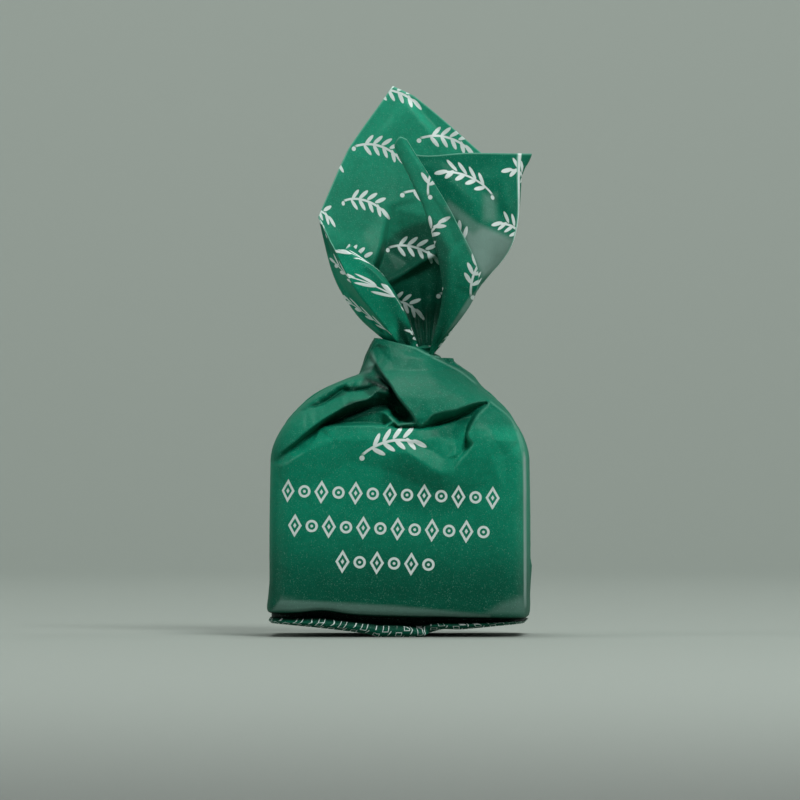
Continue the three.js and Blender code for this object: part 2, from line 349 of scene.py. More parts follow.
@dataclass(frozen=True)
class Crumple:
    """Low flat facets in the paper: straight-flanked waves that cross in all directions."""

    size: float
    height: float
    seed: int
    waves: int = 5
    bend: float = 0.35
    spread: Point2 = (0.7, 1.6)
    sway: Point2 = (2.1, 2.7)
    sway_start: float = 6.0

    def at(self, u: Array, v: Array) -> Array:
        """Returns the height of the facets at places (u, v) on the sheet.

        Args:
            u: places across the sheet.
            v: places up the sheet.

        Returns:
            The height at each place.
        """
        draw = np.random.default_rng(self.seed)
        total = np.zeros(np.broadcast(u, v).shape)
        for _ in range(self.waves):
            angle = draw.uniform(0, math.pi)
            length = self.size * draw.uniform(*self.spread)
            pace_u, pace_v = (pace * length for pace in self.sway)
            sway = np.sin(u / pace_u + v / pace_v + draw.uniform(0, self.sway_start))
            place = u * math.cos(angle) + v * math.sin(angle) + self.bend * length * sway
            total += triangle_wave(place / length + draw.uniform(0, 1))
        return self.height * total / self.waves


# ---- meshes -------------------------------------------------------------------------------------


class Zone(Enum):
    """The parts of the sheet that are printed differently, in the order of the material slots."""

    PANEL = 0
    CROWN = 1
    BASE = 2


@dataclass
class Skin:
    """Points and faces of a closed skin, with what its material reads at each point.

    `jump` is how far apart on the sheet a face's corners may lie before it bridges two prints.
    """

    points: Array
    faces: Array
    sheet: Array
    looks: dict[str, Array]
    zone: Array
    jump: float = 4.0

    def corner_places(self) -> Array:
        """Lists where each corner of each face is on the sheet.

        Returns:
            One place a row. A face that bridges two parts of the print keeps to its first column.
        """
        places = self.sheet[np.maximum(self.faces, 0)]
        spread = np.ptp(places, axis=1).max(axis=1)
        bridges = (self.faces[:, 3] >= 0) & (spread > self.jump)
        places[bridges, 1] = places[bridges, 0]
        places[bridges, 2] = places[bridges, 3]
        return places[self.faces >= 0]

    def to_object(self, name: str) -> bpy.types.Object:
        """Makes the skin an object, in metres.

        Args:
            name: the object's name.

        Returns:
            The object, in the scene, with its map of the sheet and its looks as attributes.
        """
        mesh = bpy.data.meshes.new(name)
        faces = [tuple(int(i) for i in face if i >= 0) for face in self.faces]
        mesh.from_pydata((self.points * MM).tolist(), [], faces)
        layer = mesh.uv_layers.new(name=SHEET)
        layer.uv.foreach_set("vector", self.corner_places().astype(np.float32).ravel())
        for kind, values in self.looks.items():
            layer = mesh.attributes.new(kind, "FLOAT", "POINT")
            layer.data.foreach_set("value", values.astype(np.float32))
        zone = mesh.attributes.new("zone", "INT", "FACE")
        zone.data.foreach_set("value", self.zone.astype(np.int32))
        mesh.polygons.foreach_set("use_smooth", np.ones(len(mesh.polygons), dtype=bool))
        mesh.update()
        return linked(name, mesh)


def linked(name: str, data: bpy.types.ID) -> bpy.types.Object:
    """Returns a new object of a mesh, light or camera, linked into the scene.

    Args:
        name: the name of the new object.
        data: the mesh, light or camera that it shows.

    Returns:
        The object.
    """
    made = bpy.data.objects.new(name, data)
    bpy.context.scene.collection.objects.link(made)
    return made


def grid_faces(rows: int, columns: int, closed: bool) -> Array:
    """Lists the quads of a grid of points.

    Args:
        rows: how many rows of points.
        columns: how many points in a row.
        closed: whether each row closes on itself.

    Returns:
        Four point numbers a row.
    """
    number = np.arange(rows * columns).reshape(rows, columns)
    left = number if closed else number[:, :-1]
    right = np.roll(number, -1, axis=1)[:, :left.shape[1]]
    return np.stack([left[:-1], right[:-1], right[1:], left[1:]], axis=-1).reshape(-1, 4)


def grid_normals(points: Array) -> Array:
    """Returns the unit normal at each point of an open grid of shape (rows, columns, 3)."""
    normal = np.cross(np.gradient(points, axis=1), np.gradient(points, axis=0))
    return normal / np.maximum(np.linalg.norm(normal, axis=-1, keepdims=True), 1e-9)


# ---- the shut pack ------------------------------------------------------------------------------

# The front's creases. A number after a crease's points is the strength of the painted highlight along it.
FRONT_CREASES = (
    Crease("outline_left", ((-14.43, 19.69, 0.0), (-14.54, 21.18, 0.0), (-14.08, 22.9, 0.0),
        (-13.28, 24.5, 0.0), (-11.91, 25.99, 0.0), (-10.99, 26.79, 0.0), (-9.39, 27.94, 0.0),
        (-8.02, 28.85, 0.0), (-6.3, 29.66, 0.0), (-5.27, 30.0, 0.0), (-4.58, 30.17, 0.11))),
    Crease("upper_pleat_crest", ((-10.76, 26.28, 0.56), (-9.62, 27.02, 1.46), (-8.47, 27.79, 2.13),
        (-7.33, 28.48, 2.35), (-6.18, 28.97, 2.02), (-5.15, 29.25, 1.23))),
    Crease("first_pleat_valley", ((-11.34, 25.65, 0.0), (-10.53, 25.71, -0.18), (-9.39, 26.11, -0.53),
        (-8.47, 26.62, -0.79), (-7.67, 27.19, -0.88), (-6.87, 27.82, -0.88), (-6.41, 28.05, -0.88),
        (-5.5, 27.88, -0.88), (-4.58, 27.94, -0.7), (-3.78, 28.11, -0.53), (-3.21, 28.34, -0.18))),
    Crease("small_facet", ((-4.06, 29.37, 1.01), (-4.75, 28.34, 0.22), (-3.66, 28.51, 0.28),
        (-4.06, 29.37, 1.01))),
    Crease("main_ridge_crest", ((-2.63, 28.45, 0.67), (-2.75, 27.88, 1.12), (-3.09, 27.37, 1.4),
        (-3.89, 26.91, 1.57), (-5.15, 26.62, 1.68), (-6.3, 26.11, 1.79), (-7.44, 25.48, 1.68),
        (-8.59, 24.79, 1.51), (-9.62, 24.05, 1.34), (-10.65, 23.24, 1.18), (-11.68, 22.33, 1.01),
        (-12.71, 21.53, 0.78), (-13.63, 20.84, 0.45), (-14.08, 20.27, 0.17))),
    Crease("deep_valley", ((-0.11, 26.39, -2.8), (-1.37, 26.28, -2.62), (-2.75, 26.11, -2.36),
        (-3.89, 25.88, -2.1), (-5.15, 25.53, -1.93), (-6.3, 25.08, -1.75), (-7.44, 24.62, -1.66),
        (-8.47, 24.05, -1.49), (-9.39, 23.42, -1.31), (-10.3, 22.79, -1.05), (-11.45, 21.93, -0.61),
        (-12.6, 21.13, -0.18), (-13.74, 20.15, 0.0))),
    Crease("inner_crease", ((-3.32, 25.59, -0.61), (-4.47, 25.19, -0.7), (-5.5, 24.73, -0.88),
        (-6.3, 24.45, -1.14))),
    Crease("panel_gap", ((-1.72, 24.1, -1.66), (-3.44, 24.27, -1.57), (-5.15, 24.27, -1.49),
        (-6.87, 24.19, -1.49), (-7.79, 24.11, -1.49))),
    Crease("panel_top_edge", ((-9.16, 23.42, 0.11), (-8.47, 23.82, 0.5), (-7.44, 23.98, 0.62),
        (-5.73, 24.01, 0.67), (-3.44, 23.99, 0.67), (-1.72, 23.84, 0.62), (0.0, 23.56, 0.56),
        (1.72, 23.59, 0.47), (3.44, 23.66, 0.34), (4.35, 23.86, 0.06), (5.73, 24.31, -0.53),
        (6.64, 24.62, -0.96), (7.27, 24.9, -1.14))),
    Crease("panel_shoulder", ((-9.73, 22.21, 0.5), (-7.44, 22.33, 0.62), (-3.44, 22.33, 0.67),
        (0.0, 22.21, 0.62), (2.86, 22.33, 0.5), (4.58, 22.67, 0.28))),
    Crease("left_corner_crease", ((-14.43, 19.64, 0.06), (-13.63, 19.58, 0.34), (-12.71, 19.75, 0.47),
        (-11.91, 20.32, 0.56), (-10.76, 20.95, 0.56)), 0.25),
    Crease("collar_ridge", ((-4.18, 29.83, 0.22), (-3.66, 29.31, 0.62), (-2.75, 28.89, 0.9),
        (-1.72, 28.54, 1.06), (-1.26, 28.22, 1.06))),
    Crease("collar_facet_end", ((-1.26, 28.22, 1.06), (-1.49, 27.71, 0.56), (-2.18, 27.31, -0.18),
        (-2.75, 27.08, -0.18))),
    Crease("collar_gap", ((-4.24, 30.08, 0.0), (-3.21, 29.4, -0.61), (-2.29, 29.08, -1.14),
        (-1.43, 28.74, -1.57))),
    Crease("collar_crest", ((-4.35, 30.34, 0.22), (-3.55, 30.74, 0.84), (-2.86, 30.96, 1.06))),
    Crease("strip_left_edge", ((-3.55, 32.63, 0.9), (-2.75, 31.26, 1.51), (-2.18, 30.29, 1.74),
        (-1.15, 28.91, 1.9), (-0.11, 27.19, 1.79), (0.57, 26.36, 1.57), (1.26, 25.53, 1.34),
        (1.75, 24.79, 1.12), (1.95, 24.35, 0.84)), 0.3),
    Crease("strip_left_foot", ((-3.72, 32.4, 0.34), (-2.94, 31.11, 0.56), (-2.38, 30.14, 0.0),
        (-1.37, 28.74, -1.22), (-0.34, 27.02, -2.62), (0.34, 26.16, -3.32), (1.03, 25.34, -3.15),
        (1.47, 24.78, -2.27), (1.64, 24.5, -1.05))),
    Crease("hollow", ((-0.69, 25.88, -3.32), (-0.29, 25.36, -4.2), (0.23, 25.02, -4.02),
        (0.8, 24.73, -3.15))),
    Crease("hollow_left", ((-2.75, 25.65, -0.88), (-1.95, 25.59, -0.61), (-1.26, 25.25, -0.18))),
    Crease("hollow_rim", ((-1.26, 25.13, 0.11), (-0.69, 24.53, 0.34), (-0.23, 24.05, 0.45),
        (0.46, 24.16, 0.56), (1.15, 24.24, 0.62), (1.95, 24.35, 0.84)), 0.4),
    Crease("rim_gap", ((-0.34, 23.79, -1.22), (0.57, 23.79, -1.05), (1.72, 23.83, -0.79),
        (2.63, 23.77, -0.53))),
    Crease("strip_valley", ((-2.46, 32.92, 0.56), (-1.72, 31.95, 0.84), (-1.03, 31.37, 1.29))),
    Crease("strip_middle", ((-0.34, 29.43, 1.74), (1.72, 29.31, 1.75), (4.01, 29.2, 1.68),
        (6.3, 28.51, 1.59))),
    Crease("strip_low", ((1.03, 27.25, 1.74), (2.86, 26.91, 1.77), (5.15, 27.25, 1.77),
        (7.44, 27.48, 1.68))),
    Crease("strip_ridge", ((-2.52, 33.38, 1.06), (-1.15, 32.88, 1.46), (0.34, 32.37, 1.68),
        (1.37, 31.95, 1.74), (2.52, 31.37, 1.68))),
    Crease("strip_lower_edge", ((10.19, 26.85, 1.29), (9.16, 26.74, 1.46), (8.36, 26.56, 1.57),
        (7.44, 26.22, 1.74), (6.3, 25.79, 1.79), (4.92, 25.59, 1.79), (3.89, 25.3, 1.62),
        (3.44, 24.96, 1.46), (3.09, 24.5, 1.18), (2.52, 24.01, 0.9), (1.95, 24.35, 0.84)), 0.15),
    Crease("strip_underside", ((9.96, 26.56, 0.22), (8.93, 26.19, -0.7), (8.02, 25.73, -1.4),
        (7.21, 25.28, -1.75), (6.41, 24.87, -1.93), (5.73, 24.58, -2.01), (4.24, 24.13, -1.75),
        (3.44, 23.88, -1.05))),
    Crease("shaded_facet", ((5.95, 23.24, -0.53), (6.41, 21.76, -0.18), (6.3, 20.61, 0.22))),
    Crease("right_facet_foot", ((9.85, 26.36, 0.0), (9.05, 25.81, -0.53), (8.31, 25.13, -1.31),
        (7.76, 24.16, -1.75), (7.48, 23.13, -1.93), (7.59, 22.44, -1.75), (7.96, 21.9, -1.22),
        (7.33, 21.13, -0.7), (6.58, 20.38, -0.09))),
    Crease("right_facet_edge", ((10.19, 26.85, 1.29), (10.02, 26.28, 1.06), (9.22, 25.53, 1.06),
        (8.61, 24.73, 1.06), (8.05, 23.7, 1.06), (7.76, 23.01, 1.06), (7.88, 22.5, 0.95),
        (8.31, 21.93, 0.84), (7.73, 20.98, 0.67), (6.93, 20.09, 0.56), (5.95, 18.61, 0.39)), 0.2),
    Crease("peak_crease", ((10.19, 26.85, 1.29), (10.88, 26.28, 1.23), (11.56, 25.76, 1.12),
        (12.14, 25.3, 0.84), (12.82, 24.5, 0.56), (13.28, 23.47, 0.47)), 0.3),
    Crease("facet_top", ((9.22, 25.53, 1.06), (9.96, 25.36, 0.9), (10.76, 25.3, 0.84),
        (11.45, 25.27, 0.84), (12.14, 25.3, 0.84))),
    Crease("facet_shade", ((10.19, 26.34, 0.95), (10.76, 25.82, 0.56), (11.45, 25.48, 0.62))),
    Crease("right_bulge", ((10.08, 23.7, 1.06), (10.76, 22.33, 1.01), (10.3, 20.61, 0.84))),
    Crease("low_ridge", ((-2.29, 20.95, 0.5), (-0.57, 21.01, 0.67), (1.03, 20.84, 0.84),
        (2.29, 20.04, 0.95), (3.78, 18.95, 0.95), (4.69, 18.61, 0.9), (5.95, 18.61, 0.39))),
    Crease("low_hollow", ((2.06, 21.76, 0.28), (3.66, 21.18, 0.17), (5.15, 20.27, 0.28))),
    Crease("below_low_ridge", ((-2.29, 19.12, 0.11), (-0.57, 18.66, 0.0), (1.15, 17.75, 0.0),
        (2.86, 16.72, 0.0), (5.15, 16.37, 0.06), (7.44, 17.06, 0.11))),
    Crease("strip_upper_edge", ((-1.83, 33.83, 1.12), (-0.11, 33.43, 1.23), (1.15, 33.03, 1.34),
        (1.95, 32.75, 1.34), (3.66, 31.83, 1.34), (5.15, 31.09, 1.23), (6.87, 30.19, 1.12),
        (8.02, 29.31, 0.95), (8.99, 28.51, 0.67)), 0.4),
    Crease("strip_back_gap", ((-1.72, 34.06, 0.22), (0.0, 33.66, 0.11), (1.26, 33.26, 0.0),
        (2.06, 32.98, -0.35), (3.84, 32.06, -0.88), (5.27, 31.32, -0.88), (6.98, 30.37, -0.35),
        (8.13, 29.54, 0.11), (9.1, 28.66, 0.34))),
    Crease("back_layer", ((2.98, 32.75, 0.34), (4.24, 32.35, 0.45), (5.38, 31.72, 0.45),
        (6.53, 31.03, 0.45), (7.56, 30.29, 0.45))),
    Crease("right_vertical_edge", ((13.28, 23.47, 0.47), (13.63, 22.21, 0.56), (13.91, 20.84, 0.62),
        (14.08, 18.89, 0.56), (14.2, 16.6, 0.5)), 0.25),
)

FRONT_REST = (
    (-18.3, 37.2), (-12.6, 37.2), (-6.9, 37.2), (-1.1, 37.2), (4.6, 37.2), (11.5, 37.2), (18.3, 37.2),
    (-18.3, 31.5), (-18.3, 26.9), (-18.3, 22.3), (-18.3, 17.7), (-18.3, 13.2), (-11.5, 13.2),
    (-5.7, 13.7), (0.0, 13.2), (5.7, 13.2), (11.5, 13.2), (18.3, 13.2), (18.3, 32.6), (18.3, 29.2),
    (18.3, 25.8), (18.3, 22.3), (18.3, 17.7), (15.8, 22.3), (16.0, 18.9), (-8.0, 32.6), (-11.5, 30.3),
    (-14.9, 26.9), (10.3, 33.8), (11.5, 30.3), (13.7, 27.5), (15.5, 24.6), (16.6, 15.5), (-12.6, 16.6),
    (-9.2, 17.7), (-5.7, 18.0), (-5.7, 20.0), (9.2, 15.5), (12.0, 16.6), (12.0, 20.6),
)

# Painted grey sheen, where facets seen at a grazing angle catch the light round them: the knot's left facet,
# the right side wall and shoulder, the hem and the lower right corner.
PACK_PAINTED_SHEENS = (
    Patch(((-4.6, 29.8), (-3.3, 30.1), (-2.7, 31.4), (-3.3, 33.2), (-4.4, 33.0)), 0.3),
    Patch(((14.15, 3.4), (16.0, 3.4), (16.0, 21.0), (14.05, 21.0)), 0.9, 0.25),
    Patch(((14.2, 20.6), (16.0, 20.6), (15.5, 24.5), (13.3, 25.6), (12.9, 25.0)), 0.3, 0.8),
    Patch(((-14.5, 3.0), (10.3, 1.9), (10.3, 2.5), (0.0, 3.5), (-13.5, 4.3)), 0.3, 0.4),
    Patch(((9.5, 2.5), (14.6, 2.5), (14.0, 4.6), (11.6, 3.9)), 0.2, 1.0),
)

# Painted light and shade on the front: lighter on the left ridge, the middle of the panel and the right
# facet; darker in the collar, the wedge under it, the deep valley and the first pleat, where shade falls.
PACK_PAINTED_SHADING = (
    Patch(((-14.8, 20.0), (-13.6, 20.0), (-9.4, 23.2), (-9.4, 24.5), (-15.0, 24.5)), 0.25, 0.8),
    Patch(((-1.7, 15.5), (2.9, 13.9), (8.0, 14.9), (8.6, 17.0), (1.0, 20.2), (-1.7, 19.5)), 0.3, 2.5),
    Patch(((3.5, 22.8), (6.8, 22.4), (7.0, 24.6), (3.5, 24.2)), 0.3, 0.6),
    Patch(((-4.6, 28.3), (-3.2, 27.2), (-0.46, 27.1), (-1.15, 28.4), (-4.0, 29.6)), -0.5),
    Patch(((-4.35, 29.9), (-3.9, 29.1), (-0.46, 27.4), (-2.63, 31.26)), -0.88, 0.3),
    Patch(((-9.4, 23.7), (-6.3, 24.3), (0.23, 26.3), (-0.46, 27.6), (-5.7, 26.7)), -0.65, 0.5),
    Patch(((-10.9, 25.9), (-6.07, 27.5), (-6.07, 28.2), (-8.2, 27.3)), -0.4, 0.3),
    Patch(((-6.1, 27.8), (-3.3, 28.1), (-3.3, 28.6), (-6.1, 28.4)), -0.6, 0.25),
)

# Painted light and shade by height on the front: darker towards the foot, lightest on the panel, dimmer
# above it.
FRONT_LIGHT = Profile((
    (3.0, -0.25), (5.2, -0.25), (7.4, -0.05), (9.7, 0.32), (12.0, 0.6), (14.3, 0.75), (19.0, 0.9),
    (23.2, 0.9), (24.3, 0.2), (28.0, 0.1), (33.0, 0.0)))

# Painted light and shade by height on the back and sides: darker at the foot and at the twist, lighter in
# the middle.
BACK_LIGHT = Profile((
    (3.0, -0.2), (5.0, -0.25), (9.7, 0.2), (14.0, 0.5), (20.0, 0.5), (26.0, 0.2), (33.0, -0.1)))

# Painted shade by row at the foot: the gap under the hem is nearly black and the base is darker.
FOOT_LIGHT = Profile((
    (0.0, -0.3), (0.8, -0.35), (1.1, -0.7), (1.3, -0.95), (2.1, -0.95), (2.3, -0.6), (2.5, -0.2),
    (3.5, 2.0)))

BACK_FOLDS = (
    Fold("seam", ((-1.2, 2.6), (-1.0, 14.0), (-0.4, 27.0)), (0.0, 1.0), (0.4, 5.0), 0.9, (0.02, 0.2), 0.3),
    Fold("back_strip", ((-12.5, 22.0), (-8.0, 25.0), (-4.0, 27.0), (-1.0, 30.5)), (0.9, 4.0), (-0.7, 2.6)),
    Fold("back_pleat", ((1.0, 30.0), (4.0, 27.6), (7.5, 25.4), (12.5, 22.0)), (0.8, 2.2), (-0.7, 2.4)),
    Fold("back_small", ((2.5, 27.0), (4.5, 24.8), (7.5, 22.4)), (0.4, 1.4), (-0.4, 1.6), 1.0),
)

SIDE_FOLDS = (
    Fold("side_ridge", ((-10.5, 21.5), (-7.0, 24.0), (-3.5, 26.0), (-1.5, 29.5)), (0.8, 2.4), (-0.6, 2.2)),
    Fold("side_pleat", ((1.5, 29.0), (3.4, 26.4), (6.5, 24.0), (10.5, 21.0)), (0.7, 2.0), (-0.6, 2.0)),
    Fold("side_small", ((-4.0, 22.0), (-0.8, 24.6), (0.6, 27.4)), (0.4, 1.2), (-0.4, 1.2), 1.0),
    # The base's flaps carry a painted highlight along their edges.
    Fold("left_flap", ((-12.0, 2.6), (-6.0, 6.2), (0.0, 9.4)), under=(0.35, 3.0), edge=0.9, light=0.2),
    Fold("right_flap", ((0.0, 9.4), (6.0, 6.2), (12.0, 2.6)), under=(0.35, 3.0), edge=0.9, light=0.2),
)


@dataclass(frozen=True)
class Side:
    """One side of the pack.

    `half` is how far its upright wall reaches. `rise` and `power` are its shoulder's height and bend.
    `knot` is how far the twist reaches, and `flare` how fast the twist widens downwards, below its
    middle and above. `foot` is how far the wall spreads at its foot.
    """

    half: float
    rise: float
    power: float
    knot: float
    flare: Point2
    foot: float = 0.0


@dataclass
class ShutPack:
    """The shut pack: a block of chocolate in paper, up to the twist.

    A pair that ends in `_z`, `_x` or `_y` gives where along that way a form starts and is full.
    """

    left: Side = Side(14.5, 10.65, 1.83, 4.2, (0.3, 0.5), foot=0.35)
    right: Side = Side(14.75, 11.7, 1.75, 5.0, (1.55, 1.0))
    front: Side = Side(13.5, 11.4, 2.0, 4.4, (0.9, 0.9))
    back: Side = Side(13.4, 11.4, 2.0, 3.8, (0.8, 0.8))
    shoulder_z: float = 20.0
    knot_z: float = 31.9
    top_z: float = 34.0
    squareness: Point2 = (7.5, 2.5)
    bulge: float = 0.12
    foot_z: Point2 = (7.0, 2.4)
    twist_z: Point2 = (28.0, 30.0)
    twist_round: float = 0.15
    lean: float = 0.36
    lean_z: Point2 = (27.0, 33.0)
    skew: float = 0.4
    skew_z: Point2 = (29.0, 20.0)
    tilt: float = 0.25
    tilt_x: float = -2.3
    tilt_z: Point2 = (31.5, 33.5)
    tab: float = 0.8
    tab_height: float = 0.4
    sole_rise: float = 1.55
    sole_curl: float = 0.64
    flat_half: float = 2.6
    notch: Point3 = (0.35, 4.6, 1.7)
    notch_x: Point2 = (1.9, 3.7)
    lip_slope: Point2 = (0.12, -0.022)
    lip_wave: Point3 = (0.42, -8.7, 2.6)
    flap_edge: tuple[Point2, Point2] = ((-1.8, 2.1), (3.4, 0.3))
    flap: float = 0.35
    flap_step: float = 0.11
    flap_gap: Point3 = (0.55, 0.45, 0.4)
    flap_z: Point2 = (2.0, 1.6)
    flap_y: Point2 = (9.0, 11.0)
    fold_z: Point2 = (3.0, 5.5)
    loose_z: Point2 = (18.0, 24.0)
    # Where the painted grey sheen lies: above this row of the foot, and only towards the front, from a depth
    # that shrinks with height.
    painted_sheen_foot: float = 2.3
    painted_sheen_reach: Point2 = (8.5, 2.5)
    painted_sheen_z: Point2 = (20.0, 28.0)
    painted_sheen_fade: float = 2.5
    girth_z: float = 12.0
    plug_x: float = 2.9
    plug_z: float = 33.0
    plug_radius: float = 1.1
    sole_rings: tuple[float, ...] = (0.2, 0.4, 0.6, 0.8, 0.93)
    sole_rows: int = 9
    columns: tuple[int, int] = (300, 180)
    half_angle: float = 62.0
    relief: Relief = Relief(FRONT_CREASES, FRONT_REST)
    crumples: tuple[Crumple, ...] = (Crumple(9.0, 0.16, 3), Crumple(3.6, 0.055, 8))
    wall_spans: tuple[Point3, ...] = ((4.9, 15.0, 0.6), (15.0, 20.0, 0.25), (20.0, 33.9, 0.125))
    tab_turn: Point2 = (0.75, 0.95)
    front_share: Point2 = (0.2, 0.7)
    ahead_share: Point2 = (0.0, 0.2)
    behind_share: Point2 = (0.1, 0.55)
    beside_share: Point2 = (0.1, 0.6)
    plug_steps: tuple[Point2, ...] = ((0.9, 0.08), (0.72, 0.05))
    plug_slope: float = 0.1
    plug_taper: float = 0.6
    plug_tip: float = 0.2
    plug_sheet: Point2 = (35.0, 37.0)
    tip_sheet: float = 38.0

    def angles(self) -> Array:
        """Returns the directions of the columns, closest together at the front.

        Returns:
            One row of angles in radians.
        """
        half = math.radians(self.half_angle)
        ends = np.array([-half, half, math.tau - half]) - math.pi / 2
        return np.concatenate([np.linspace(start, end, count, endpoint=False)
                               for start, end, count in zip(ends, ends[1:], self.columns)])

    def wall(self, side: Side, z: Array) -> Array:
        """Returns how far one side reaches at each height.

        Args:
            side: the side of the block.
            z: heights in millimetres.

        Returns:
            The reach at each height.
        """
        shoulder = np.clip((z - self.shoulder_z) / side.rise, 0, 1)
        swell = self.bulge * np.sin(np.pi * np.clip(z / self.shoulder_z, 0, 1))
        half = side.half + swell + side.foot * between(z, *self.foot_z)
        dome = half * (1 - shoulder**side.power) ** (1 / side.power)
        slope = np.where(z < self.knot_z, *side.flare)
        twist = np.maximum(side.knot + slope * (self.knot_z - z), 0)
        return mix(dome, soft_max(dome, twist, self.twist_round), between(z, *self.twist_z))

    def plan(self, z: Array, angle: Array) -> tuple[Array, list[Array]]:
        """Works out the outline at each height.

        Args:
            z: the heights.
            angle: the directions.

        Returns:
            The distance from the axis, and how far the left, right, front and back reach.
        """
        reach = [self.wall(side, z) for side in (self.left, self.right, self.front, self.back)]
        left, right, front, back = reach
        c, s = np.cos(angle), np.sin(angle)
        square = mix(*self.squareness, between(z, self.shoulder_z, self.knot_z))
        across = np.abs(c) / np.where(c < 0, left, right)
        along = np.abs(s) / np.where(s < 0, front, back)
        return (across**square + along**square) ** (-1 / square), reach

    def sole_height(self, x: Array) -> Array:
        """Returns how high the base curls up at x.

        Args:
            x: places across, in millimetres.

        Returns:
            The height of the curled base at each place.
        """
        beyond = np.maximum(0, np.abs(x) - self.flat_half) / (self.right.half - self.flat_half)
        height, middle, width = self.notch
        notch = height * hump(x, middle, width) * between(x, *self.notch_x)
        return self.sole_rise * beyond**self.sole_curl + notch

    def flap_push(self, x: Array, y: Array, z: Array) -> Array:
        """Returns how far the left flap of the base stands out over the right one.

        Args:
            x: places across, in millimetres.
            y: places in depth.
            z: heights in millimetres.

        Returns:
            The distance that each point is pushed out.
        """
        (ax, az), (bx, bz) = self.flap_edge
        across = ((x - ax) * (az - bz) + (z - az) * (bx - ax)) / math.hypot(bx - ax, az - bz)
        depth, middle, width = self.flap_gap
        over = self.flap * between(across, self.flap_step, -self.flap_step)
        inside = between(z, *self.flap_z) * between(-y, *self.flap_y)
        return (over - depth * hump(across, middle, width)) * inside

    def rows(self) -> Array:
        """Lists the rows of the skin.

        Returns:
            For each row its height, the scale of the outline across and in depth, and its share of the
            sole's curl and of the lip's wave.
        """
        foot = np.array([
            (0.00, 0.975, 0.910, 1.00, 0.0),
            (0.35, 0.990, 0.935, 0.92, 0.0),
            (0.80, 0.990, 0.940, 0.66, 0.2),
            (1.18, 0.980, 0.915, 0.45, 0.6),
            (1.36, 0.970, 0.830, 0.32, 0.8),
            (2.00, 0.970, 0.820, 0.12, 1.0),
            (2.18, 0.985, 0.945, 0.06, 1.0),
            (2.35, 0.993, 0.985, 0.02, 1.0),
            (2.75, 1.000, 0.998, 0.00, 0.8),
            (3.50, 1.002, 1.002, 0.00, 0.3),
            (4.30, 1.000, 1.000, 0.00, 0.0),
        ])
        share = np.linspace(0, len(foot) - 1, 3 * len(foot) - 2)
        foot = np.stack([np.interp(share, np.arange(len(foot)), column) for column in foot.T], axis=1)
        heights = np.concatenate([np.arange(*span) for span in self.wall_spans])
        wall = heights[:, None] * [1, 0, 0, 0, 0] + [0, 1, 1, 0, 0]
        return np.vstack([foot, wall])

    def build(self) -> Skin:
        """Builds the skin of the shut pack.

        Returns:
            The closed skin, with the print's places in the sheet.
        """
        angle = self.angles()[None, :]
        row, wide, deep, curl, wave = (column[:, None] for column in self.rows().T)
        radius, reach = self.plan(row, angle)
        x = radius * wide * np.cos(angle)
        y = radius * deep * np.sin(angle)
        sheet = np.stack(np.broadcast_arrays(self.perimeter(angle), row), axis=-1)
        x = x + self.lean * between(row, *self.lean_z)
        x = x + self.skew * y / self.back.half * between(row, *self.skew_z)
        height, middle, width = self.lip_wave
        lip = self.lip_slope[0] + self.lip_slope[1] * x + height * hump(x, middle, width)
        z = row + curl * self.sole_height(x) + wave * lip
        z = z - self.tilt * (x - self.tilt_x) * between(z, *self.tilt_z)
        x, y, painted_highlight = self.folded(x, y, z, reach, sheet)
        y = y - self.flap_push(x, y, z)
        tab = self.tab * hump(z, self.knot_z, self.tab_height)
        x = x + tab * between(np.cos(angle), *self.tab_turn)
        # Painted grey sheen on the front; painted light and shade, by height and patch on the front and by
        # height behind, capped by the painted shade at the foot.
        painted_sheen = patched(np.zeros_like(x), PACK_PAINTED_SHEENS, x, z) * (row > self.painted_sheen_foot)
        start = mix(*self.painted_sheen_reach, between(z, *self.painted_sheen_z))
        seen = between(-y / self.front.half, *self.front_share)
        painted_shading = mix(BACK_LIGHT.at(z), patched(FRONT_LIGHT.at(z), PACK_PAINTED_SHADING, x, z), seen)
        looks = {PAINTED_HIGHLIGHT: painted_highlight, PAINTED_SHEEN: painted_sheen * between(-y, start, start + self.painted_sheen_fade),
                 PAINTED_SHADING: np.minimum(painted_shading, FOOT_LIGHT.at(row))}
        return self.closed(np.stack([x, y, z], axis=-1), sheet, looks)

    def perimeter(self, angle: Array) -> Array:
        """Returns the distance round the wall from the middle of the front, at each direction.

        Args:
            angle: the directions of the columns.

        Returns:
            The distance at each column, negative to the left.
        """
        radius, _ = self.plan(np.full(angle.shape, self.girth_z), angle)
        x, y = radius * np.cos(angle), radius * np.sin(angle)
        around = np.cumsum(np.hypot(np.diff(x, prepend=x[:, :1]), np.diff(y, prepend=y[:, :1])))
        return around - around[np.argmin(np.abs(angle + math.pi / 2))]

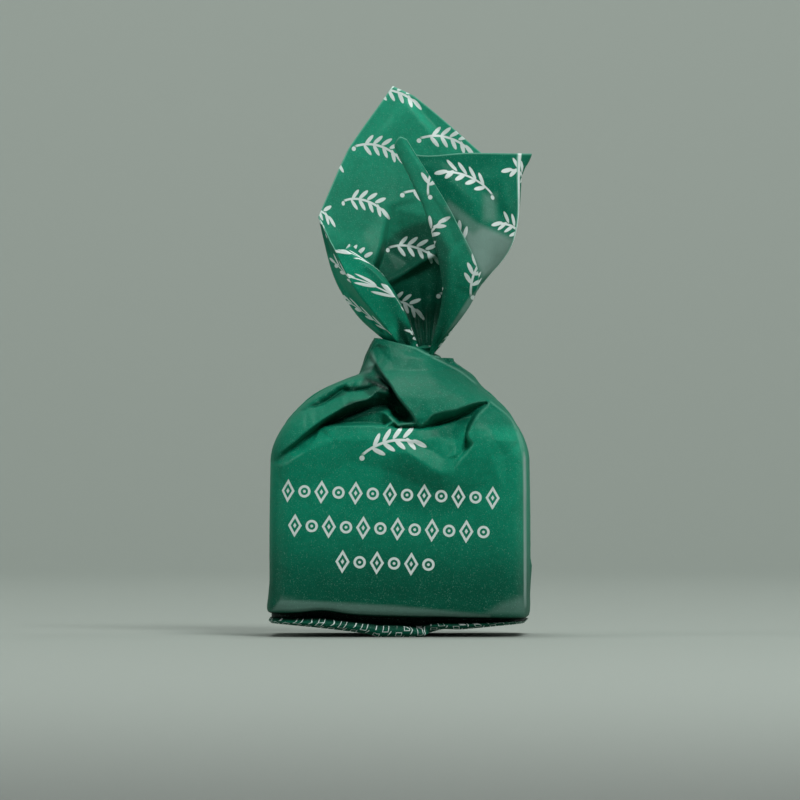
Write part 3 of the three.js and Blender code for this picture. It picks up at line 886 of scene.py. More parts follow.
    def folded(self, x: Array, y: Array, z: Array, reach: list[Array],
               sheet: Array) -> tuple[Array, Array, Array]:
        """Pushes the smooth wall out and in where the paper is folded.

        Args:
            x: places across, on the grid of the skin.
            y: places in depth.
            z: heights.
            reach: how far the four sides reach at each row.
            sheet: places on the sheet.

        Returns:
            The new x and y, and the painted highlight along the folds.
        """
        left, right, front, back = reach
        ahead = between(-y / front, *self.ahead_share)
        behind = between(y / back, *self.behind_share)
        beside = (1 - ahead) * (1 - behind)
        upright = between(z, *self.fold_z)
        loose = sum(crumple.at(sheet[..., 0], sheet[..., 1]) for crumple in self.crumples)
        loose = loose * mix(0.5, 1.0, between(z, *self.loose_z)) * upright
        pushes = [ahead * (self.relief.at(x, z) + loose)]
        painted_highlight = ahead * self.relief.painted_highlight(x, z)
        for share, across, folds in ((behind, -x, BACK_FOLDS),
                                     (between(-x / left, *self.beside_share) * beside, -y, SIDE_FOLDS),
                                     (between(x / right, *self.beside_share) * beside, y, SIDE_FOLDS)):
            pushes.append(share * (sum(fold.height(across, z) for fold in folds) + loose))
            painted_highlight += share * np.maximum.reduce([fold.painted_highlight(across, z) for fold in folds])
        to_front, to_back, to_left, to_right = pushes
        return x + upright * (to_right - to_left), y + upright * (to_back - to_front), np.clip(painted_highlight, 0, 1)

    def closed(self, points: Array, sheet: Array, looks: dict[str, Array]) -> Skin:
        """Closes the skin with its sole below and the pinched paper above.

        Args:
            points: the grid of the walls.
            sheet: places on the sheet, at each point.
            looks: the painted highlight, painted grey sheen and painted light and shade at each point.

        Returns:
            The closed skin.
        """
        columns = points.shape[1]
        angle = self.angles()
        sole = [points[0] * [share, share, 0.0] for share in self.sole_rings]
        for ring in sole:
            ring[:, 2] = self.sole_height(ring[:, 0])
        centre = np.array([self.plug_x, 0.0, self.top_z - self.tilt * (self.plug_x - self.tilt_x)])
        plug = [mix(centre, points[-1], share) + [0, 0, lift] for share, lift in self.plug_steps]
        for drop, taper in ((self.plug_slope, 1.0), (0.0, self.plug_taper)):
            z, radius = self.plug_z - drop, self.plug_radius * taper
            ring = [self.plug_x + radius * np.cos(angle), radius * np.sin(angle), np.full(columns, z)]
            plug.append(np.stack(ring, axis=-1))
        grid = np.concatenate([sole, points, plug])
        below, above, rows = len(sole), len(plug), len(grid)
        first, last = rows * columns, rows * columns + 1
        here = np.arange(columns)
        there = np.roll(here, -1)
        roof = first - columns
        poles = [(np.full(columns, first), there, here), (roof + here, roof + there, np.full(columns, last))]
        faces = [grid_faces(rows, columns, closed=True)]
        faces += [np.stack([*corners, np.full(columns, -1)], axis=1) for corners in poles]
        sheet = np.pad(sheet, ((below, above), (0, 0), (0, 0)), mode="edge")
        sheet[:below, :, 1] = 0.0
        sheet[-above:, :, 1] = np.linspace(*self.plug_sheet, above)[:, None]
        fold = below + self.sole_rows
        flat = grid[:fold + 1, :, :2]
        spread = 1 + sheet[:fold + 1, :, 1] / np.linalg.norm(flat, axis=-1)
        sheet[:fold + 1] = flat * spread[..., None]
        for name, values in looks.items():
            mode = "edge" if name == PAINTED_SHADING else "constant"
            padded = np.pad(values, ((below, above), (0, 0)), mode=mode).ravel()
            looks[name] = np.append(padded, padded[[0, -1]])
        zone = np.full(len(faces[0]) + 2 * columns, Zone.PANEL.value)
        zone[:fold * columns] = Zone.BASE.value
        zone[-2 * columns:-columns] = Zone.BASE.value
        points = np.vstack([grid.reshape(-1, 3), [0, 0, 0], [self.plug_x, 0, self.plug_z + self.plug_tip]])
        sheet = np.vstack([sheet.reshape(-1, 2), [0, 0], [0, self.tip_sheet]])
        return Skin(points, np.vstack(faces), sheet, looks, zone)


# ---- the crown ----------------------------------------------------------------------------------


@dataclass(frozen=True)
class Rib:
    """A line of the crown from the twist to the rim, through two points between.

    `crease` says how sharply the paper turns over it, at the twist and at the rim. `print_turn` is the
    angle of the print on the leaf that follows.
    """

    name: str
    points: tuple[Point3, Point3, Point3, Point3]
    crease: Point2 = (0.0, 0.0)
    print_turn: float = 0.0

    def line(self, t: Array, depth: float) -> Array:
        """Follows the rib.

        Args:
            t: shares of its length, from the twist to the rim.
            depth: how far it reaches down into the twist.

        Returns:
            The points, one a row.
        """
        points = np.array(self.points)
        points[0, 2] -= depth
        points = np.vstack([2 * points[0] - points[1], points, 2 * points[-1] - points[-2]])
        span = np.minimum((t * 3).astype(int), 2)
        a, b, c, d = (points[span + i] for i in range(4))
        ab, bc, cd = (np.linalg.norm(q - p, axis=1, keepdims=True) ** 0.5
                      for p, q in ((a, b), (b, c), (c, d)))
        start = ((b - a) / ab - (c - a) / (ab + bc) + (c - b) / bc) * bc
        end = ((c - b) / bc - (d - b) / (bc + cd) + (d - c) / cd) * bc
        return cubic(b, c, start, end, (t * 3 - span)[:, None])


CROWN_RIBS = (
    Rib("strip_tuck", ((2.3, -0.4, 33.4), (0.5, 0.2, 37), (-1.8, 1.2, 41.1), (-5.5, 1.8, 44.6)), (1, 1), 55),
    Rib("strip_right", ((1.9, -1.8, 33.4), (0.6, -2.6, 36.3), (-1.9, -2.9, 40.5), (-6.3, -1.2, 44.1)),
        (1, 1), 55),
    Rib("strip_left", ((1.3, -1.9, 33.2), (-1.2, -2.4, 34.7), (-5.3, -2.2, 40), (-7.4, -0.8, 44.1)),
        (1, 1), 50),
    Rib("left_fold", ((1.6, 0.2, 33.3), (-4.7, 0.8, 36.5), (-7.2, 1.4, 40.4), (-9.3, 2.4, 47.9)),
        (1, 1), -17),
    Rib("left_cut", ((1.9, 1.8, 33.5), (-0.9, 4.6, 39.5), (-3.9, 6, 45.7), (-5.9, 6.8, 55.8)),
        (0, 0.6), -17),
    Rib("tip", ((2.7, 2.4, 33.5), (1.1, 6, 40.6), (-0.2, 8, 49.2), (-0.8, 9.4, 63.1)), (0, 1), -17),
    Rib("back_crease", ((3.4, 2.4, 33.5), (4.2, 6.2, 40.6), (5, 8.2, 49.2), (1.6, 9.4, 62)),
        (0.7, 0.7), -17),
    Rib("back_right", ((3.9, 2, 33.4), (6.4, 5.6, 40.1), (8.3, 7.4, 48.1), (9.6, 8, 55.2)), (0, 1), -17),
    Rib("hidden_back", ((3.4, 1, 33.3), (8, 3.4, 39.5), (11, 4.6, 46.6), (12.4, 5, 54.2)), (0, 0), 22),
    Rib("flick", ((3.4, 0, 33.3), (8.7, 0.4, 39.2), (12.9, 0.6, 45.6), (14.2, -0.4, 55.1)), (0.5, 1), 22),
    Rib("leaf_right", ((3.3, -0.9, 33.2), (8.7, -1.4, 39.3), (13, -1.6, 45.2), (13.6, -1.9, 55.1)),
        (0.8, 0.8), 22),
    Rib("leaf_middle", ((3.3, -1.7, 33), (8.3, -4.2, 39.3), (9.4, -5.2, 46.6), (7.8, -4.6, 55.1)),
        (0, 0), 22),
    Rib("leaf_left", ((3.4, -2, 33), (5.7, -5, 39.3), (5, -6, 46.6), (1.4, -5.6, 55)), (0, 0), 22),
    Rib("band_roll", ((3.2, -2.2, 32.9), (4.9, -5.3, 40.1), (3.3, -6.5, 47.3), (-0.4, -5.9, 55.6)),
        (0, 0), 60),
    Rib("band_fold", ((3.3, -2.4, 32.9), (5, -5.8, 40.1), (3.4, -7.1, 47.3), (-0.5, -6.4, 56.1)),
        (0.3, 0.3), 60),
    Rib("band_cap", ((3.5, -2.4, 32.9), (6.6, -6.2, 40.2), (4.7, -7.5, 47.4), (0.1, -7, 56.9)), (0, 0), 60),
    Rib("band_edge", ((3.3, -2.3, 33), (9, -6.2, 40.2), (6.3, -7.4, 47.5), (0.8, -7, 56.6)), (0, 0), 60),
)

CROWN_INSIDE_CREASES = (
    Crease("lit_edge", ((-1.37, 49.23, 0.1), (-1.83, 46.26, 0.3), (-2.18, 44.43, 0.45),
        (-2.63, 42.94, 0.5), (-3.09, 41.91, 0.5), (-3.32, 40.08, 0.3))),
    Crease("shade_edge", ((-1.03, 49.01, -0.3), (-1.43, 46.14, -1.5), (-1.77, 44.31, -2.3),
        (-2.18, 42.82, -2.6), (-2.63, 41.79, -2.4))),
    Crease("band_side", ((2.86, 50.27, 0.5), (4.35, 47.75, 1.1), (5.27, 45.23, 1.3))),
    Crease("inner_gap", ((-1.72, 40.65, -1.2), (-0.23, 41.56, -1.5), (1.37, 42.59, -1.4),
        (2.86, 43.51, -1.1), (4.24, 44.31, -0.8))),
    Crease("inner_fold", ((-1.76, 40.19, -0.6), (-0.23, 41.11, -0.6), (1.37, 42.14, -0.5),
        (2.86, 43.05, -0.3), (4.24, 43.8, -0.1))),
    Crease("under_fold", ((-1.49, 39.62, -1.6), (0.0, 40.53, -2.1), (1.6, 41.56, -2.2),
        (3.09, 42.48, -2.1), (4.47, 43.22, -1.9))),
    Crease("low_hollow", ((-1.03, 37.79, -3.0), (1.15, 38.36, -3.3), (3.89, 38.82, -3.0))),
    Crease("low_floor", ((0.46, 35.5, -1.6), (2.29, 35.61, -1.8), (4.12, 35.84, -1.6))),
    Crease("facet_crease", ((0.46, 61.72, 0.0), (1.15, 60.57, 0.5), (1.83, 59.77, 0.6),
        (2.98, 58.28, 0.6), (4.12, 56.45, 0.4))),
    Crease("facet_foot", ((1.6, 61.26, -0.2), (2.75, 59.88, -0.3), (4.12, 58.51, -0.3),
        (5.73, 56.91, -0.2))),
    Crease("left_buckle", ((-8.02, 46.14, 0.4), (-6.87, 44.88, 0.5), (-5.5, 44.08, 0.4))),
    Crease("left_buckle_low", ((-7.79, 47.29, -0.1), (-6.41, 46.03, -0.2), (-5.04, 45.23, -0.1))),
)

CROWN_INSIDE_REST = (
    (-11.5, 65.8), (-0.6, 64.7), (9.2, 62.4), (13.7, 54.4), (-11.5, 55.5), (-11.5, 46.4),
    (-10.3, 38.4), (-4.6, 34.9), (0.0, 33.2), (4.6, 33.2), (9.2, 34.9), (9.2, 42.9), (9.2, 48.7),
    (-6.3, 52.1), (-3.4, 56.7), (-3.4, 51.0), (0.0, 54.4), (3.4, 53.2), (-5.7, 48.1), (-4.0, 46.4),
    (-5.2, 42.4),
)

CROWN_OUTSIDE_CREASES = (
    Crease("low_crease", ((5.95, 48.2, 0.1), (7.33, 46.83, 0.2), (8.93, 46.95, 0.2),
        (10.42, 45.91, 0.15), (11.79, 45.57, 0.15), (13.28, 45.34, 0.15))),
    Crease("low_facet_foot", ((7.56, 45.23, 0.1), (9.16, 44.08, 0.05), (10.76, 43.17, -0.2),
        (12.14, 43.17, -0.3))),
    Crease("leaf_crease", ((3.44, 53.47, 0.0), (5.95, 51.87, 0.35), (8.02, 49.81, 0.4),
        (8.93, 47.98, 0.3))),
    Crease("leaf_hollow", ((4.58, 54.39, -0.1), (8.02, 52.33, -0.3), (10.99, 49.23, -0.35),
        (12.37, 46.83, -0.2))),
    Crease("leaf_ridge", ((10.99, 54.62, 0.1), (11.45, 52.1, 0.4), (12.25, 49.23, 0.4))),
    Crease("strip_left_crease", ((-7.17, 42.71, 0.3), (-6.43, 41.39, 0.5), (-5.38, 39.96, 0.6),
        (-4.35, 38.47, 0.5), (-2.98, 36.75, 0.4), (-1.37, 35.04, 0.3))),
    Crease("strip_outer_gap", ((-7.67, 42.02, -0.1), (-6.76, 40.3, -0.3), (-6.13, 39.27, -0.4))),
    Crease("strip_dark_crease", ((-5.61, 39.27, -0.1), (-4.69, 38.01, -0.4), (-3.44, 36.53, -0.5),
        (-1.83, 34.81, -0.4))),
    Crease("strip_low_band", ((-5.84, 38.36, 0.3), (-4.69, 36.98, 0.5), (-3.32, 35.5, 0.5),
        (-1.37, 34.06, 0.4))),
    Crease("strip_mid_crease", ((-5.95, 43.17, 0.1), (-4.58, 41.56, 0.35), (-3.21, 39.96, 0.4),
        (-1.15, 37.44, 0.35), (0.46, 35.38, 0.2))),
    Crease("band_hollow", ((1.37, 53.82, -0.1), (3.21, 50.72, -0.25), (5.27, 47.52, -0.3),
        (6.3, 44.88, -0.25))),
    Crease("band_crease", ((5.95, 42.71, 0.3), (7.56, 41.56, 0.35), (8.7, 39.73, 0.2))),
    Crease("band_low_fold", ((5.27, 42.71, 0.1), (5.95, 40.08, 0.35), (5.73, 36.64, 0.3))),
    Crease("neck_right_fold", ((8.02, 38.82, 0.0), (6.87, 36.98, 0.4), (5.61, 34.69, 0.3))),
)

CROWN_OUTSIDE_REST = (
    (-11.5, 59.0), (-2.3, 59.0), (2.3, 57.8), (8.0, 56.7), (16.0, 56.7), (16.6, 52.1), (16.6, 44.1),
    (13.7, 41.2), (11.5, 38.4), (9.2, 34.9), (6.9, 32.6), (0.0, 32.4), (-5.7, 33.2), (-9.2, 38.4),
    (-9.2, 45.2), (-6.9, 45.2), (0.0, 55.5), (2.3, 47.5), (3.4, 44.1), (3.4, 38.4), (1.1, 38.4),
    (-0.6, 40.6), (8.0, 55.0), (13.7, 53.8), (13.5, 48.1), (10.3, 39.5), (2.3, 33.2),
)

# Painted grey sheen on the front-right leaf's lower facets and down to the twist, where facets seen at a
# grazing angle catch the light round them.
CROWN_PAINTED_SHEENS = (
    Patch(((9.5, 41.0), (10.8, 41.6), (12.4, 43.4), (13.05, 45.2), (9.2, 46.8), (7.1, 46.1), (8.1, 43.8)),
          0.7, 0.9),
    Patch(((5.2, 48.6), (8.4, 45.8), (9.4, 46.6), (5.6, 49.6)), 0.35, 0.8),
    Patch(((5.4, 34.6), (9.1, 38.0), (9.6, 40.3), (7.8, 38.4)), 0.45, 0.3),
    Patch(((9.6, 47.4), (11.0, 47.4), (11.0, 50.4), (9.6, 50.4)), 0.25, 1.0),
)

# Painted light on the inner face by height: less deep in the cup, more towards the tips.
INNER_LIGHT = Profile(((36.0, 0.2), (40.0, 0.45), (44.0, 0.85), (46.0, 0.9), (51.0, 0.85), (55.5, 1.45)))

# Painted shade inside the cup, behind the band and the front-right leaf.
INNER_SHADES = (
    Patch(((5.3, 33.2), (5.7, 44.1), (3.7, 47.5), (1.4, 47.1), (-0.6, 46.1), (-1.9, 44.8), (-2.6, 43.2),
           (-3.2, 41.3), (-1.1, 37.2), (1.1, 33.2)), -0.15, 0.9),
)

# Painted light on the lower left of the outer face; painted shade at the foot of the strip by the twist.
OUTER_PAINTED_SHADING = (
    Patch(((-1.0, 33.2), (0.5, 34.5), (-5.0, 43.6), (-9.5, 43.6), (-8.5, 38.5)), 0.95, 0.8),
    Patch(((-0.2, 33.1), (1.4, 33.1), (2.1, 34.4), (-0.2, 36.3)), -0.5, 0.6),
)


@dataclass
class Crown:
    """The open end of the sheet above the twist, seen inside and out.

    A pair that ends in `_share` gives where on the way up a form starts and is full.
    """

    ribs: tuple[Rib, ...] = CROWN_RIBS
    paper: float = 0.12
    root_depth: float = 1.5
    rows: int = 130
    leaf_columns: int = 18
    pleat_height: float = 0.16
    pleat_count: float = 23.0
    pleat_share: Point2 = (0.5, 0.08)
    crumples: tuple[Crumple, ...] = (Crumple(8.0, 0.25, 21), Crumple(3.2, 0.06, 5))
    crumple_share: Point2 = (0.0, 0.25)
    crease_share: Point2 = (0.0, 0.12)
    inside: Relief = Relief(CROWN_INSIDE_CREASES, CROWN_INSIDE_REST, 0.2)
    outside: Relief = Relief(CROWN_OUTSIDE_CREASES, CROWN_OUTSIDE_REST, 0.12)
    inside_ribs: tuple[str, str] = ("left_fold", "hidden_back")
    flick: float = 0.95
    flick_columns: float = 9.0
    flick_share: Point2 = (0.9, 1.0)
    # The painted white highlight down the bent edge of the front-right leaf: its ribs, its width and where
    # it starts and is full.
    highlight_strip_ribs: tuple[str, str] = ("flick", "leaf_right")
    highlight_strip_width: float = 0.32
    highlight_strip_share: Point2 = (0.45, 0.95)
    # Painted light on the outer face; its patches lie only in front of front_y.
    outer_painted_shading: float = 0.35
    front_y: float = 2.0
    # A faint painted grey sheen on the inner face, between these heights.
    inner_painted_sheen: float = 0.05
    inner_painted_sheen_z: Point2 = (38.0, 48.0)
    # Painted highlight on the cut edges: the rim, and one side from a share of the way up.
    rim_painted_highlight: float = 0.55
    side_painted_highlight: float = 0.6
    crumple_fade: float = 0.6
    blend_reach: int = 4
    side_painted_highlight_from: float = 0.3

    def surface(self, t: Array) -> tuple[Array, Array]:
        """Works out the middle of the sheet.

        Args:
            t: the share of the way up of each row.

        Returns:
            The grid of points, and the number of the leaf that each column is in.
        """
        lines = np.stack([rib.line(t, self.root_depth) for rib in self.ribs], axis=1)
        crease = np.stack([mix(*rib.crease, t) for rib in self.ribs], axis=1)[..., None]
        step = np.diff(lines, axis=1)
        size = np.linalg.norm(step, axis=-1, keepdims=True) + 1e-6
        speed = np.pad(step / size, ((0, 0), (1, 1), (0, 0)), mode="edge")
        length = np.pad(size, ((0, 0), (1, 1), (0, 0)), mode="edge")
        before, after = length[:, :-1], length[:, 1:]
        slope = (speed[:, :-1] * after + speed[:, 1:] * before) / (before + after)
        columns, leaf = [], []
        last = len(self.ribs) - 2
        for i in range(last + 1):
            a, b = lines[:, i], lines[:, i + 1]
            start = mix(slope[:, i] * size[:, i], b - a, crease[:, i])
            end = mix(slope[:, i + 1] * size[:, i], b - a, crease[:, i + 1])
            shares = np.linspace(0, 1, self.leaf_columns + (i == last), endpoint=i == last)
            columns += [cubic(a, b, start, end, w) for w in shares]
            leaf += [i] * len(shares)
        return np.stack(columns, axis=1), np.array(leaf)

    def build(self) -> Skin:
        """Builds the thin crown with both its faces.

        Returns:
            The closed skin of the sheet.
        """
        t = np.linspace(0, 1, self.rows)
        height = t[:, None]
        middle, leaf = self.surface(t)
        round_step = np.diff(middle, axis=1, prepend=middle[:, :1])[..., :2]
        across = np.cumsum(np.linalg.norm(round_step, axis=-1), axis=1)
        up = np.cumsum(np.linalg.norm(np.diff(middle, axis=0, prepend=middle[:1]), axis=-1), axis=0)
        belly = across[self.rows // 2][None, :]
        pleats = self.pleat_height * triangle_wave(belly * self.pleat_count / belly.max())
        pleats = pleats * between(height, 0.0, self.pleat_share[1]) * between(height, *self.pleat_share)
        loose = sum(crumple.at(belly + 0 * up, up) for crumple in self.crumples)
        loose = loose * between(height, *self.crumple_share) * mix(1.0, self.crumple_fade, height)
        middle = self.creased(middle + grid_normals(middle) * (pleats + loose)[..., None], leaf, height)
        half = grid_normals(middle) * self.paper / 2
        sheet = self.print_places(middle, leaf, across)
        return self.thickened(middle + half, middle - half, sheet, self.painted_highlight_strip(leaf, height))

    def first_column(self, leaf: Array, name: str) -> int:
        """Returns the first column of the leaf that follows the named rib."""
        return int(np.argmax(leaf >= [rib.name for rib in self.ribs].index(name)))

    def creased(self, middle: Array, leaf: Array, height: Array) -> Array:
        """Folds the leaves seen from inside and those seen from outside, each by its own creases.

        Args:
            middle: the grid of the sheet.
            leaf: the leaf of each column.
            height: the share of the way up of each row.

        Returns:
            The folded grid.
        """
        number = np.arange(len(leaf))
        first, last = (self.first_column(leaf, name) for name in self.inside_ribs)
        within = ((number >= first) & (number < last)).astype(float)
        window = 2 * self.blend_reach + 1
        within = np.pad(within, self.blend_reach, mode="edge")
        blend = np.convolve(within, np.ones(window) / window, mode="valid")
        x, _, z = np.moveaxis(middle, -1, 0)
        push = mix(self.outside.at(x, z), self.inside.at(x, z), blend) * between(height, *self.crease_share)
        flick = hump(number, self.first_column(leaf, "flick"), self.flick_columns)
        turn = self.flick * between(height, *self.flick_share) * flick
        return middle + np.stack([turn, -push, 0 * push], axis=-1)

    def painted_highlight_strip(self, leaf: Array, height: Array) -> Array:
        """Returns where a painted white highlight runs down the bent edge of the front-right leaf: a strip
        that narrows downwards.

        Args:
            leaf: the leaf of each column.
            height: the share of the way up of each row.

        Returns:
            The strength of the painted highlight, from 0 to 1.
        """
        first, start = (self.first_column(leaf, name) for name in self.highlight_strip_ribs)
        width = (start - first) * self.highlight_strip_width * between(height, *self.highlight_strip_share)
        share = (start - np.arange(len(leaf)))[None, :] / np.maximum(width, 1e-3)
        return ((share >= 0) & (share <= 1)).astype(float)

    def print_places(self, middle: Array, leaf: Array, across: Array) -> Array:
        """Lays each leaf flat and turns it as its print runs.

        Args:
            middle: the grid of the sheet.
            leaf: the leaf of each column.
            across: distance across the sheet at each point.

        Returns:
            The place of each point on the printed sheet, in millimetres.
        """
        turns = np.array([rib.print_turn for rib in self.ribs])[leaf]
        sheet = np.zeros(middle.shape[:2] + (2,))
        for turn in np.unique(turns):
            columns = np.where(turns == turn)[0]
            centre = columns[len(columns) // 2]
            u = across[:, columns] - across[:, [centre]] + middle[:, [centre], 0]
            v = middle[:, columns, 2]
            c, s = math.cos(math.radians(turn)), math.sin(math.radians(turn))
            sheet[:, columns] = np.stack([u * c + v * s, v * c - u * s], axis=-1)
        return sheet

    def thickened(self, outer: Array, inner: Array, sheet: Array, strip_highlight: Array) -> Skin:
        """Closes two faces of the sheet with its cut edges.

        Args:
            outer: the grid of one face.
            inner: the grid of the other.
            sheet: places on the printed sheet.
            strip_highlight: where the painted white highlight runs down the bent edge.

        Returns:
            The closed skin.
        """
        rows, columns = outer.shape[:2]
        layer = rows * columns
        front = grid_faces(rows, columns, closed=False)
        number = np.arange(layer).reshape(rows, columns)
        ring = np.concatenate([number[0], number[1:, -1], number[-1, -2::-1], number[-2:0:-1, 0]])
        after = np.roll(ring, -1)
        rim = np.stack([ring, ring + layer, after + layer, after], axis=1)
        faces = np.vstack([front, front[:, ::-1] + layer, rim])
        # Painted highlight: the rim, one side's cut edge and the strip down the bent edge are painted pale.
        cut = np.zeros((rows, columns))
        cut[-1, :] = self.rim_painted_highlight
        cut[int(rows * self.side_painted_highlight_from):, -1] = self.side_painted_highlight
        cut = np.maximum(cut, 2.0 * strip_highlight)
        points = np.vstack([outer.reshape(-1, 3), inner.reshape(-1, 3)])
        x, y, z = points.T
        within = np.arange(len(points)) < layer
        # Painted grey sheen on the outer face, a faint one inside, and painted light and shade on both
        # faces.
        painted_sheen = patched(np.zeros_like(x), CROWN_PAINTED_SHEENS, x, z) * (y < 0)
        inner_painted_sheen = within * self.inner_painted_sheen * between(z, *self.inner_painted_sheen_z)
        inner_painted_shading = patched(INNER_LIGHT.at(z), INNER_SHADES, x, z)
        outer_painted_shading = patched(np.full(x.shape, self.outer_painted_shading), OUTER_PAINTED_SHADING, x, z)
        outer_painted_shading = np.where(y < self.front_y, outer_painted_shading, self.outer_painted_shading)
        looks = {PAINTED_HIGHLIGHT: np.tile(cut.ravel(), 2), PAINTED_SHEEN: np.maximum(painted_sheen, inner_painted_sheen),
                 PAINTED_SHADING: np.where(within, inner_painted_shading, outer_painted_shading)}
        sheet = np.tile(sheet.reshape(-1, 2), (2, 1))
        return Skin(points, faces, sheet, looks, np.full(len(faces), Zone.CROWN.value))


# ---- shader building ----------------------------------------------------------------------------

FLOAT, VECTOR, COLOUR = "NodeSocketFloat", "NodeSocketVector", "NodeSocketColor"


@dataclass(frozen=True)
class Value:
    """An output of a node, on which Python's signs work by adding nodes to its tree."""

    bench: "Bench"
    socket: bpy.types.NodeSocket

    def math(self, operation: str, *others: object, clamp: bool = False) -> "Value":
        """Returns this value after a sum with none to two others."""
        inputs = dict(enumerate((self, *others)))
        return self.bench.value("ShaderNodeMath", inputs, operation=operation, use_clamp=clamp)

    def __add__(self, other: object) -> "Value":
        """Returns the sum of the two."""
        return self.math("ADD", other)

    def __sub__(self, other: object) -> "Value":
        """Returns the difference of the two."""
        return self.math("SUBTRACT", other)

    def __mul__(self, other: object) -> "Value":
        """Returns the product of the two."""
        return self.math("MULTIPLY", other)

    def __truediv__(self, other: object) -> "Value":
        """Returns this value divided by the other."""
        return self.math("DIVIDE", other)

    def __abs__(self) -> "Value":
        """Returns the value without its sign."""
        return self.math("ABSOLUTE")

    def step(self, low: float, high: float, start: float = 0.0, end: float = 1.0) -> "Value":
        """Returns a smooth ramp: `start` where the value is under low, `end` where it is over high."""
        inputs = {"Value": self, "From Min": low, "From Max": high, "To Min": start, "To Max": end}
        return self.bench.value("ShaderNodeMapRange", inputs, interpolation_type="SMOOTHSTEP")

    def split(self) -> tuple["Value", "Value", "Value"]:
        """Returns the three parts of a vector."""
        made = self.bench.node("ShaderNodeSeparateXYZ", {0: self})
        return tuple(Value(self.bench, socket) for socket in made.outputs)

    def scaled(self, factor: "Value") -> "Value":
        """Returns a vector or colour times a number."""
        return self.bench.value("ShaderNodeVectorMath", {0: self, 3: factor}, operation="SCALE")

    def placed(self, centre: Point2, size: Point2, turn: float) -> "Value":
        """Returns places as seen from a centre, turned by `turn` degrees and measured in `size`."""
        inputs = {"Vector": self, "Location": (*centre, 0.0), "Rotation": (0.0, 0.0, math.radians(turn)),
                  "Scale": (*size, 1.0)}
        return self.bench.value("ShaderNodeMapping", inputs, vector_type="TEXTURE")

    def oval(self, centre: Point2, size: Point2, turn: float = 0.0) -> "Value":
        """Returns an oval's measure of distance: 1 on its outline, less inside."""
        made = self.bench.node("ShaderNodeVectorMath", {0: self.placed(centre, size, turn)},
                               operation="LENGTH")
        return Value(self.bench, made.outputs["Value"])


@dataclass(frozen=True)
class Bench:
    """A node tree under construction, with short ways to add to it."""

    tree: bpy.types.NodeTree

    def put(self, value: object, socket: bpy.types.NodeSocket) -> None:
        """Links a value to a socket, or sets the socket to a plain value."""
        if isinstance(value, Value):
            self.tree.links.new(value.socket, socket)
        else:
            socket.default_value = value

    def node(self, kind: str, inputs: dict[str | int, object] | None = None,
             **settings: object) -> bpy.types.Node:
        """Adds a node.

        Args:
            kind: the node's type name.
            inputs: what its inputs are linked or set to.
            settings: its own properties.

        Returns:
            The node.
        """
        made = self.tree.nodes.new(kind)
        for key, value in settings.items():
            setattr(made, key, value)
        for key, value in (inputs or {}).items():
            self.put(value, made.inputs[key])
        return made

    def value(self, kind: str, inputs: dict[str | int, object] | None = None, output: str | int = 0,
              **settings: object) -> Value:
        """Adds a node and returns one of its outputs."""
        return Value(self, self.node(kind, inputs, **settings).outputs[output])

    def noise(self, place: Value, scale: float, detail: float) -> Value:
        """Adds a noise of the given fineness."""
        return self.value("ShaderNodeTexNoise", {"Vector": place, "Scale": scale, "Detail": detail})

    def blend(self, factor: object, a: object, b: object) -> Value:
        """Adds a mix of two colours and returns it."""
        return self.value("ShaderNodeMix", {0: factor, 6: a, 7: b}, 2, data_type="RGBA")


class Group:
    """A shader node group with named inputs and outputs."""

    def __init__(self, name: str, **inputs: tuple[str, object]) -> None:
        """Makes the empty group.

        Args:
            name: the group's name.
            inputs: the kind and the usual value of each input.
        """
        self.tree = bpy.data.node_groups.new(name, "ShaderNodeTree")
        for title, (kind, value) in inputs.items():
            socket = self.tree.interface.new_socket(title, in_out="INPUT", socket_type=kind)
            if value is not None:
                socket.default_value = value
        self.bench = Bench(self.tree)
        entry = self.bench.node("NodeGroupInput")
        self.takes = [Value(self.bench, socket) for socket in entry.outputs][:len(inputs)]

    def give(self, **outputs: Value) -> "Group":
        """Adds the group's outputs.

        Args:
            outputs: the value of each output.

        Returns:
            The finished group.
        """
        for title, value in outputs.items():
            kind = {"VALUE": FLOAT, "VECTOR": VECTOR, "RGBA": COLOUR}[value.socket.type]
            self.tree.interface.new_socket(title, in_out="OUTPUT", socket_type=kind)
        self.bench.node("NodeGroupOutput", outputs)
        return self

    def place(self, bench: Bench, **inputs: object) -> list[Value]:
        """Puts the group into a material.

        Args:
            bench: the material's bench.
            inputs: what the group's inputs are linked or set to.

        Returns:
            Its outputs there.
        """
        made = bench.node("ShaderNodeGroup", node_tree=self.tree)
        for title, value in inputs.items():
            bench.put(value, made.inputs[title])
        return [Value(bench, socket) for socket in made.outputs]


def make_repeat_group() -> Group:
    """Makes the half-drop repeat: places on the sheet become places in one cell.

    Returns:
        The finished group, ready to be placed in a finish.
    """
    group = Group("half drop repeat", Place=(VECTOR, None), Width=(FLOAT, 6.2), Height=(FLOAT, 5.5))
    place, width, height = group.takes
    x, y, _ = place.split()
    column = x / width
    row = y / height + column.math("FLOOR").math("FLOORED_MODULO", 2.0) * 0.5
    parts = {"X": (column.math("FRACT") - 0.5) * width, "Y": (row.math("FRACT") - 0.5) * height}
    return group.give(Cell=group.bench.value("ShaderNodeCombineXYZ", parts))


